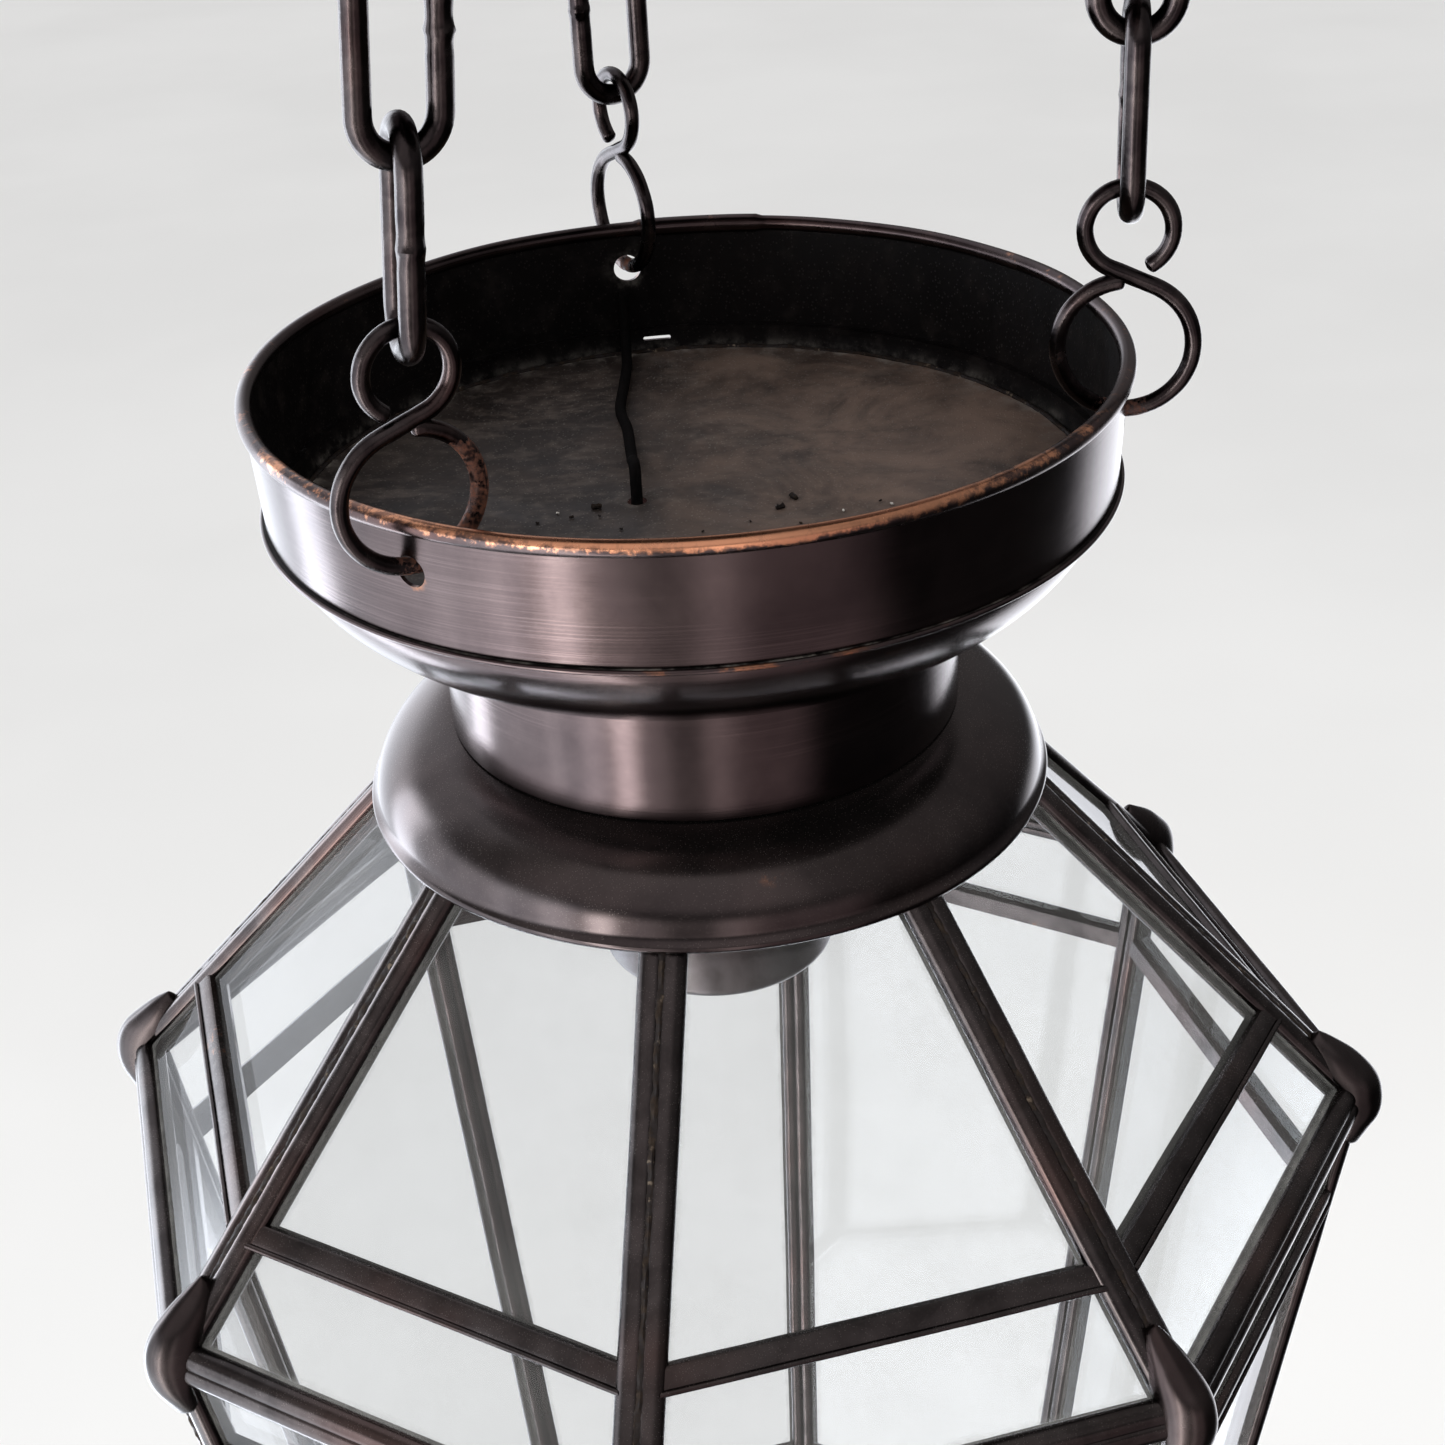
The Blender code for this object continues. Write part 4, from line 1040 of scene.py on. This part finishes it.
class Tier:
    """Eight flat panels between two levels of the cage."""

    def __init__(self, top_radius, top_depth, foot_radius, foot_depth):
        self.radii = (top_radius, foot_radius)
        self.levels = (RIM_Z - top_depth, RIM_Z - foot_depth)
        half = math.pi / FACE_COUNT
        self.apothems = [radius * math.cos(half) for radius in self.radii]
        self.halves = [radius * math.sin(half) for radius in self.radii]
        self.fall = self.levels[0] - self.levels[1]
        self.slope = math.hypot(self.apothems[1] - self.apothems[0], self.fall)
        self.edge_slant = math.cos(math.atan2(self.halves[1] - self.halves[0], self.slope))
        normals = [self.place(face).to_3x3() @ Vector((0, 1, 0)) for face in (0, 1)]
        self.mitre = math.tan(normals[0].angle(normals[1]) / 2)

    def half_width(self, down, margin):
        share = down / self.slope
        return self.halves[0] + (self.halves[1] - self.halves[0]) * share - margin / self.edge_slant

    def place(self, face):
        """Axes of a panel: X along it, Y into the cage, Z up the slope, from its top edge."""
        azimuth = corner_azimuth(face + 0.5)
        outward = polar(1.0, azimuth)
        along = Vector((-math.sin(azimuth), math.cos(azimuth), 0.0))
        run = self.apothems[0] - self.apothems[1]
        up = (outward * run + Vector((0, 0, self.fall))) / self.slope
        start = outward * self.apothems[0] + Vector((0, 0, self.levels[0]))
        turn = Matrix((along, up.cross(along), up)).transposed().to_4x4()
        return Matrix.Translation(start) @ turn

    def outline(self, top, foot, margin):
        """The four corners (across, down) of a light of this tier."""
        wide, narrow = self.half_width(foot, margin), self.half_width(top, margin)
        return [Vector((-narrow, top)), Vector((narrow, top)),
                Vector((wide, foot)), Vector((-wide, foot))]

    def corner(self, number, down, inward):
        """A point of a corner line, moved into the cage along the mitre."""
        share = down / self.slope
        radius = self.radii[0] + (self.radii[1] - self.radii[0]) * share
        height = self.levels[0] + (self.levels[1] - self.levels[0]) * share
        slant = Vector((self.radii[0] - self.radii[1], self.fall)).normalized()
        return polar(radius - slant.y * inward, corner_azimuth(number), height + slant.x * inward)


def inset(corners, distance):
    """The polygon moved in by a distance, with its corners mitred."""
    middle = sum(corners, Vector((0, 0))) / len(corners)
    lines = []
    for start, end in zip(corners, corners[1:] + corners[:1]):
        along = (end - start).normalized()
        inward = Vector((-along.y, along.x))
        if inward.dot(middle - start) < 0:
            inward = -inward
        lines.append((start + inward * distance, along))
    moved = []
    for i, (start, along) in enumerate(lines):
        other, direction = lines[i - 1]
        moved.append(other + direction * ((start - other).cross(along) / direction.cross(along)))
    return moved


CAME_STEP = 0.005                # between the points along a came
RAIL_STEPS = 28


def came_section(mitre):
    """(in from the panel's edge, depth) round a U-channel with a half-round back and front."""
    crown, waist = 0.0033, CAME - 0.0033
    front = [(0.0020 * mitre + 0.0002, 0.0020)]
    front += [(crown - crown * 0.93 * math.cos(a), 0.0023 * (1 - math.sin(a)))
              for a in (math.radians(d) for d in range(18, 90, 12))]
    front += [(crown + waist * math.sin(a), 0.0023 * (1 - math.cos(a)))
              for a in (math.radians(d) for d in range(0, 91, 15))]
    channel = [(CAME, GLASS_FRONT - 0.0001), (GLASS_EDGE - 0.0002, GLASS_FRONT - 0.0001),
               (GLASS_EDGE - 0.0002, GLASS_FRONT + GLASS + 0.0001), (CAME, GLASS_FRONT + GLASS + 0.0001)]
    deep, back = GLASS_FRONT + GLASS + 0.0003, 0.0017
    behind = [(CAME - 0.0022 + 0.0022 * math.cos(a), deep + back * math.sin(a))
              for a in (math.radians(d) for d in range(0, 91, 15))]
    end = deep + back
    behind += [(end * mitre + 0.0006, end), (deep * mitre + 0.0002, deep)]
    return front + channel + behind


def came_frame(shape, place, corners, section):
    """Sweeps a came's section round a panel, mitred at the corners and a little uneven."""
    counts = []
    for i, corner in enumerate(corners):
        counts.append(max(4, round((corner - corners[i - 1]).length / CAME_STEP)))
    rings = []
    for distance, depth in section:
        corner_ring = inset(corners, distance)
        ring = []
        for i, end in enumerate(corner_ring):
            for j in range(counts[i]):
                point = corner_ring[i - 1].lerp(end, j / counts[i])
                at = place @ Vector((point.x, depth, -point.y))
                ring.append(hand_made(at))
        rings.append(ring)
    shape.grid(rings, row_closed=True)


def rail(shape, tier, face, middle):
    """A flat bar across a panel with a thin rolled lower edge, let in between the side cames."""
    half = RAIL_WIDTH / 2
    section = [(-half, 0.0023), (-half + 0.0004, 0.0011), (-half + 0.0011, 0.0007),
               (half - 0.0018, 0.0007)]
    section += [(half - 0.0008 - s, 0.0007 + z) for s, z in arc((0, 0), 0.0007, -20, -200, 9)][::-1]
    section += [(half, 0.0024), (0.0007, 0.0024), (0.0007, 0.0056), (half, 0.0056)]
    section += [(half - 0.0008, 0.0070), (-half + 0.0008, 0.0070)]
    section += [(-half, 0.0056), (-0.0007, 0.0056), (-0.0007, 0.0024)]
    place = tier.place(face)
    rings = []
    for i in range(RAIL_STEPS + 1):
        ring = []
        for down, depth in section:
            side = tier.half_width(middle + down, CAME - 0.0016) * (2 * i / RAIL_STEPS - 1)
            at = place @ Vector((side, depth, -(middle + down)))
            ring.append(hand_made(at))
        rings.append(ring)
    shape.grid(rings, ends_closed=True)


def seam(shape, points, radius):
    """A rough bead of solder along a joint."""
    line = [uneven(point, 300.0, 0.00022) for point in refined(points, 0.0008)]
    length = (points[-1] - points[0]).length

    def swell(share, around):
        at = Vector((share * length * 380.0, around * 0.9, points[0].x * 50.0))
        return 1.0 + 0.30 * noise.noise(at) + 0.22 * noise.noise(at * 2.9)

    shape.tube(line, radius, sides=9, swell=swell)


def edge_wear(strength):
    """Patchy wear from noise in space, scaled by a given strength."""
    def wear(point):
        patch = noise.noise(point * 45.0) + 0.5 * noise.noise(point * 140.0)
        return strength * min(1.0, max(0.0, patch + 0.15))
    return wear


def frame_tier(name, tier, middle, looks, nodes):
    cames, rails, seams = Shape(), Shape(), Shape()
    section = came_section(tier.mitre)
    for face in range(FACE_COUNT):
        came_frame(cames, tier.place(face), tier.outline(0.0, tier.slope, 0.0), section)
        rail(rails, tier, face, middle)
        ends = [tier.corner(face, down, 0.0018) for down in (0.004, tier.slope - 0.004)]
        seam(seams, ends, 0.00105)
    cames.build(f"{name}_cames", "lantern", [looks["came"]], nodes, wear=edge_wear(0.30), sharp=50.0)
    rails.build(f"{name}_rails", "lantern", [looks["came"]], wear=edge_wear(0.55))
    seams.build(f"{name}_seams", "lantern", [looks["solder"]])


def eaves_seams(tier, looks):
    """Broken runs of solder in the groove between the roof and the sides."""
    shape = Shape()
    for face in range(FACE_COUNT):
        start, end = tier.corner(face, 0.0, 0.0030), tier.corner(face + 1, 0.0, 0.0030)
        seam(shape, [start.lerp(end, 0.04), start.lerp(end, 0.96)], 0.00075)
    shape.build("eaves_seams", "lantern", [looks["solder"]])


def pane(name, place, corners, looks, nodes, body="lantern"):
    """A flat pane on a grid that is finer near its edges."""
    marks = [0.0, 0.0015, 0.003, 0.005, 0.008, 0.012, 0.018]
    width = (corners[2] - corners[3]).length
    height = corners[3].y - corners[0].y

    def shares(size):
        near_side = [mark / size for mark in marks if mark < size * 0.45]
        inner = [near_side[-1] + (0.5 - near_side[-1]) * i / 4 for i in range(1, 5)]
        half = near_side + inner
        return half + [1 - s for s in reversed(half[:-1])]

    across, down = shares(width), shares(height)
    points, distances = [], []
    for depth in (GLASS_FRONT, GLASS_FRONT + GLASS):
        for v in down:
            left, right = corners[0].lerp(corners[3], v), corners[1].lerp(corners[2], v)
            for u in across:
                at = left.lerp(right, u)
                points.append(place @ Vector((at.x, depth, -at.y)))
                distances.append(min(min(u, 1 - u) * (right - left).length, min(v, 1 - v) * height))
    rows, count = len(down), len(across)
    faces = []
    for layer in (0, rows * count):
        for i in range(rows - 1):
            for j in range(count - 1):
                a = layer + i * count + j
                faces.append((a, a + 1, a + 1 + count, a + count))
    border = [j for j in range(count)] + [i * count + count - 1 for i in range(1, rows)]
    border += [(rows - 1) * count + j for j in reversed(range(count - 1))]
    border += [i * count for i in reversed(range(1, rows - 1))]
    for a, b in zip(border, border[1:] + border[:1]):
        faces.append((a, b, b + rows * count, a + rows * count))
    finish_pane(name, points, faces, distances, looks, nodes, body)


def finish_pane(name, points, faces, distances, looks, nodes, body):
    """Builds a pane, and paints it with each point's distance to the came in metres."""
    shape = Shape()
    shape.add(points, faces)
    piece = shape.build(name, body, [looks["glass"]], nodes, "clear_glass")
    paint(piece, "edge", [max(0.0, d - (CAME - GLASS_EDGE)) for d in distances])


def tier_panes(prefix, tier, looks):
    for face in range(FACE_COUNT):
        foot = tier.slope - GLASS_EDGE
        if prefix == "side_glass" and face == DOOR_FACE:
            foot = SIDE_RAIL * tier.slope + RAIL_WIDTH / 2 - 0.0018
        corners = tier.outline(GLASS_EDGE, foot, GLASS_EDGE)
        pane(f"{prefix}_{face + 1}_pane", tier.place(face), corners, looks, [f"{prefix}_{face + 1}"])


def base_pane(tier, looks):
    low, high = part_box("base_glass")
    sideways = FRAME_THICKNESS * tier.slope / tier.fall
    radius = (tier.apothems[1] - sideways) / math.cos(math.pi / FACE_COUNT) - 0.0010
    steps = [1.0, 0.985, 0.96, 0.93, 0.89, 0.82, 0.7, 0.5, 0.3, 0.12]
    points, distances, faces = [], [], []
    for level in (low.z, high.z):
        for share in steps:
            for corner in range(FACE_COUNT):
                points.append(polar(radius * share, corner_azimuth(corner), level))
                distances.append((1 - share) * radius * math.cos(math.pi / FACE_COUNT))
    layer = len(steps) * FACE_COUNT
    for start in (0, layer):
        for i in range(len(steps) - 1):
            for j in range(FACE_COUNT):
                n = (j + 1) % FACE_COUNT
                a = start + i * FACE_COUNT
                faces.append((a + j, a + n, a + FACE_COUNT + n, a + FACE_COUNT + j))
        faces.append(tuple(start + layer - FACE_COUNT + j for j in range(FACE_COUNT)))
    for j in range(FACE_COUNT):
        n = (j + 1) % FACE_COUNT
        faces.append((j, n, layer + n, layer + j))
    finish_pane("base_glass_pane", points, faces, distances, looks, ["base_glass"], "lantern")


def corner_cap(tier_above, tier_below, number, looks):
    """A leaf of sheet bronze lapped over a hip's end and bent down over the corner bar."""
    angle = corner_azimuth(number)
    outward = polar(1.0, angle)
    sideways = Vector((-math.sin(angle), math.cos(angle), 0))
    corner = tier_above.corner(number, tier_above.slope, 0.0)
    hip = (tier_above.corner(number, 0.0, 0.0) - corner).normalized()
    post = (tier_below.corner(number, tier_below.slope, 0.0) - corner).normalized()
    reach_up, reach_down, blend = 0.0215, 0.0155, 0.0070
    steps, around = 48, 40
    rings = []
    for i in range(steps + 1):
        t = i / steps
        along = -reach_up + (reach_up + reach_down) * t
        if along < -blend:
            middle, tangent = corner - hip * along, -hip
        elif along > blend:
            middle, tangent = corner + post * along, post
        else:
            s = (along + blend) / (2 * blend)
            start, end = corner + hip * blend, corner + post * blend
            middle = start * (1 - s) ** 2 + corner * 2 * s * (1 - s) + end * s ** 2
            tangent = ((corner - start) * (1 - s) + (end - corner) * s).normalized()
        lift = tangent.cross(sideways)
        if lift.dot(outward) < 0:
            lift = -lift
        point = math.sin(math.pi * min(1.0, t / 0.56) / 2) ** 0.56
        close = math.sqrt(max(0.0, 1 - max(0.0, (t - 0.66) / 0.34) ** 2))
        half = 0.0005 + 0.0056 * point * (0.45 + 0.55 * close)
        bulge = math.sin(math.pi * min(1.0, t * 0.92 + 0.06)) ** 0.9
        crown = 0.0005 + 0.0042 * bulge
        base = -0.0032 * min(1.0, half / 0.0048)
        ring = []
        for j in range(around):
            phi = math.pi * (j / (around - 1) - 0.5)
            rise = base + (crown - base) * max(0.0, math.cos(phi)) ** 0.90
            ring.append(middle + sideways * half * math.sin(phi) + lift * rise)
        under = base - 0.0004
        ring += [middle + sideways * half * k + lift * under for k in (0.85, 0.4, 0.0, -0.4, -0.85)]
        rings.append([uneven(at, 140.0, 0.00022) for at in ring])
    shape = Shape()
    shape.grid(rings, ends_closed=True)
    shape.build(f"corner_cap_{number + 1}_leaf", "lantern", [looks["cap"]], [f"corner_cap_{number + 1}"],
                wear=edge_wear(0.22), sharp=70.0)


def knuckle(shape, middle, along, inward, across):
    """A rolled hinge knuckle: a barrel with its leaf running off to the frame."""
    outline = [(HINGE_BARREL * math.cos(a), HINGE_BARREL * math.sin(a))
               for a in (math.radians(d) for d in range(90, -181, -15))]
    reach, leaf = 0.0052, 0.0011
    foot = HINGE_STANDOFF + 0.0001
    outline += [(reach - 0.0004, foot - leaf), (reach, foot - leaf + 0.0004), (reach, foot)]
    half = BARREL_LENGTH / 2
    rings = []
    for offset, scale in ((-half, 0.93), (-half + 0.0003, 1.0), (half - 0.0003, 1.0), (half, 0.93)):
        rings.append([middle + (across * s + inward * d) * scale + along * offset for s, d in outline])
    shape.grid(rings, ends_closed=True)


def door(tier, looks):
    """The lower light of one side: came frame, hinge knuckles, pane and knob."""
    top = SIDE_RAIL * tier.slope + RAIL_WIDTH / 2 + DOOR_GAP
    foot = tier.slope - CAME - DOOR_GAP
    margin = CAME + DOOR_GAP
    place = tier.place(DOOR_FACE)
    leaf, hanging = Shape(), Shape()
    section = [(d, depth) for d, depth in came_section(0.0) if depth < 0.0060]
    section += [(CAME - 0.0006, 0.0064), (0.0006, 0.0064), (0.0, 0.0058)]
    came_frame(leaf, place, tier.outline(top, foot, margin), section)
    line = [place @ Vector((tier.half_width(down, CAME + DOOR_GAP / 2), -HINGE_STANDOFF, -down))
            for down in (top, foot)]
    along = (line[1] - line[0]).normalized()
    length = (line[1] - line[0]).length
    inward = (place.to_3x3() @ Vector((0, 1, 0))).normalized()
    across = along.cross(inward)
    for start in (HINGE_INSET, length - HINGE_INSET - 2 * BARREL_LENGTH - GAP):
        for owner, offset, toward in ((leaf, 0.0, -1), (hanging, BARREL_LENGTH + GAP, 1)):
            middle = line[0] + along * (start + offset + BARREL_LENGTH / 2)
            knuckle(owner, middle, along, inward, across * toward)
    leaf.build("door_cames", "door", [looks["came"]], ["door_frame"], wear=edge_wear(0.3))
    hanging.build("door_hinge_knuckles", "lantern", [looks["came"]], wear=edge_wear(0.3))
    glass = tier.outline(top + GLASS_EDGE, foot - GLASS_EDGE, margin + GLASS_EDGE)
    pane("door_pane", place, glass, looks,
         ["door_glass"], "door")

    middle_down = (top + foot) / 2
    at = place @ Vector((-tier.half_width(middle_down, margin + CAME / 2), 0.0, -middle_down))
    stand = Vector((0, 0, 1)).rotation_difference(-inward).to_matrix().to_4x4()
    profile = [(0.00001, 0.0095)] + arc((0, 0.0062), 0.0036, 80, -40, 16)
    profile += [(0.0017, 0.0034), (0.0015, 0.0026)] + arc((0.0026, 0.0014), 0.0009, 110, -60, 8)
    profile += [(0.0030, 0.0002), (0.00001, 0.0002)]
    knob = Shape()
    knob.lathe(profile, turns=48, place=Matrix.Translation(at) @ stand)
    knob.build("door_knob_turned", "door", [looks["cap"]], ["door_knob"], wear=lambda p: 0.35)


def cage(looks):
    roof = Tier(0.0690, 0.0919, 0.1580, 0.1885)
    side = Tier(0.1580, 0.1885, 0.1180, 0.4500)
    frame_tier("roof", roof, ROOF_RAIL * roof.slope, looks, ["roof_frame"])
    frame_tier("side", side, SIDE_RAIL * side.slope, looks, ["side_frame"])
    eaves_seams(side, looks)
    tier_panes("roof_glass", roof, looks)
    tier_panes("side_glass", side, looks)
    for number in range(FACE_COUNT):
        corner_cap(roof, side, number, looks)
    door(side, looks)
    base_pane(side, looks)


# ---- stage --------------------------------------------------------------------------------------
def area_light(name, place, target, size, power, colour):
    data = bpy.data.lights.new(name, "AREA")
    data.shape = "RECTANGLE"
    data.size, data.size_y = size
    data.energy = power
    data.color = colour
    lamp = placed(name, data)
    lamp.visible_glossy = False
    lamp.location = place
    lamp.rotation_euler = (target - place).to_track_quat("-Z", "Y").to_euler()


# What the metal mirrors: azimuth and inner and outer half-width in degrees, lower and upper height as
# the sine of the elevation; colour.
WINDOWS = (((150.0, 3.0, 10.0, -0.95, 0.30), (5.4, 5.8, 6.4)),
           ((136.0, 20.0, 42.0, -0.95, 0.30), (2.2, 2.3, 2.5)),
           ((-163.0, 16.0, 34.0, -0.95, 0.25), (2.4, 2.5, 2.7)),
           ((-161.0, 1.5, 5.0, -0.95, 0.20), (1.6, 1.65, 1.7)),
           ((-141.0, 3.0, 8.0, -0.95, 0.20), (1.7, 1.75, 1.8)),
           ((-127.0, 2.0, 5.5, -0.95, 0.15), (11.0, 10.6, 10.4)),
           ((-128.0, 14.0, 24.0, -0.95, 0.15), (1.3, 1.2, 1.2)),
           ((-100.0, 14.0, 28.0, -0.95, 0.15), (0.60, 0.54, 0.53)),
           ((-86.0, 1.5, 6.0, -0.95, 0.15), (0.85, 0.75, 0.74)),
           ((-66.0, 12.0, 28.0, -0.95, 0.15), (0.46, 0.36, 0.37)),
           ((62.0, 14.0, 34.0, -0.95, -0.24), (2.2, 2.25, 2.4)),
           ((127.0, 10.0, 50.0, 0.30, 0.95), (0.60, 0.61, 0.67)),
           ((-112.0, 25.0, 70.0, 0.35, 0.95), (0.48, 0.43, 0.44)))
SKY_FADE = 0.12                  # half the height over which a window's edge fades
EVEN_SKY = (0.82, 0.82, 0.82)


def studio_sky():
    """Soft room light: even for matt surfaces, with pale windows for the metal to mirror."""
    world = bpy.data.worlds.new("studio")
    bpy.context.scene.world = world
    world.use_nodes = True
    world.node_tree.nodes.clear()
    sky = Nodes(world.node_tree)
    direction = sky.node("ShaderNodeTexCoord").outputs["Generated"]
    split = sky.node("ShaderNodeSeparateXYZ")
    sky.feed(split.inputs[0], direction)
    height = split.outputs["Z"]
    flat = sky.node("ShaderNodeVectorMath", operation="MULTIPLY")
    sky.feed(flat.inputs[0], direction)
    sky.feed(flat.inputs[1], (1, 1, 0))
    level = sky.node("ShaderNodeVectorMath", operation="NORMALIZE")
    sky.feed(level.inputs[0], flat.outputs[0])

    def window(azimuth, inner, outer, bottom, top):
        """A patch of sky that is full within inner degrees of an azimuth and fades out at outer."""
        toward = sky.node("ShaderNodeVectorMath", operation="DOT_PRODUCT")
        sky.feed(toward.inputs[0], level.outputs[0])
        sky.feed(toward.inputs[1], polar(1.0, math.radians(azimuth)))
        edges = (math.cos(math.radians(reach)) for reach in (outer, inner))
        share = sky.ramp(toward.outputs["Value"], *edges)
        share = sky.math("MULTIPLY", share, sky.ramp(height, bottom - SKY_FADE, bottom + SKY_FADE))
        return sky.math("MULTIPLY", share, sky.ramp(height, top + SKY_FADE, top - SKY_FADE))

    def tinted(share, colour):
        made = sky.node("ShaderNodeVectorMath", operation="SCALE")
        sky.feed(made.inputs[0], colour)
        sky.feed(made.inputs["Scale"], share)
        return made.outputs[0]

    lights = [tinted(window(*where), colour) for where, colour in WINDOWS]
    lights.append(tinted(sky.ramp(height, -0.40, 0.60, 0.035, 0.28), (1.0, 0.93, 0.94)))
    lights.append(tinted(sky.ramp(height, 0.78, 1.0, 0.0, 0.16), (1.0, 0.97, 0.96)))
    glow = lights[0]
    for light in lights[1:]:
        total = sky.node("ShaderNodeVectorMath", operation="ADD")
        sky.feed(total.inputs[0], glow)
        sky.feed(total.inputs[1], light)
        glow = total.outputs[0]

    path = sky.node("ShaderNodeLightPath")
    metal_sky, even_sky = sky.node("ShaderNodeBackground"), sky.node("ShaderNodeBackground")
    sky.feed(metal_sky.inputs["Color"], glow)
    sky.feed(even_sky.inputs["Color"], EVEN_SKY)
    choice = sky.node("ShaderNodeMixShader")
    sky.feed(choice.inputs[0], path.outputs["Is Glossy Ray"])
    sky.feed(choice.inputs[1], even_sky.outputs[0])
    sky.feed(choice.inputs[2], metal_sky.outputs[0])
    sky.feed(sky.node("ShaderNodeOutputWorld").inputs["Surface"], choice.outputs[0])


FLOOR_BELOW = 0.75               # from the lantern's foot


def stage():
    """A pale floor well below the hanging lantern, and soft lamps."""
    low, high = cad_box
    shape = Shape()
    level = low.z - FLOOR_BELOW
    sides = 48
    shape.grid([[polar(radius, 2 * math.pi * i / sides, level) for i in range(sides)]
                for radius in (0.5, 2.0, 6.0, 14.0)])
    shape.faces.append(tuple(range(sides)))
    mesh = bpy.data.meshes.new("studio_floor")
    mesh.from_pydata(shape.points, [], shape.faces)
    look = Look("pale_floor")
    cloud = look.noise(1.3, 3.0)
    colour = look.mix(look.ramp(cloud, 0.3, 0.7), (0.85, 0.846, 0.838), (0.89, 0.886, 0.878))
    look.finish(Base_Color=colour, Roughness=0.9, Normal=look.bump(look.noise(300.0), 0.0004, 0.1))
    mesh.materials.append(look.material)
    floor = placed("studio_floor", mesh)
    floor.visible_glossy = False
    middle = (low + high) / 2
    area_light("key_left", middle + Vector((-1.5, -0.2, 1.3)), middle,
               (1.2, 1.2), 16.0, (0.95, 0.97, 1.0))
    area_light("fill_right", middle + Vector((1.6, 0.6, 0.9)), middle,
               (0.9, 1.3), 9.0, (1.0, 0.98, 0.95))
    area_light("top_soft", middle + Vector((0.2, -0.3, 1.9)), middle, (1.4, 1.4), 7.0, (1.0, 1.0, 1.0))
    studio_sky()
    bpy.context.scene.view_settings.view_transform = "Standard"


camera()
LOOKS = make_looks()
flex(LOOKS)
suspension(LOOKS)
pan_rim(LOOKS)
pan_wall(LOOKS)
pan_dish(LOOKS)
pan_floor(LOOKS)
neck(LOOKS)
collar(LOOKS)
lampholder(LOOKS)
cage(LOOKS)
stage()
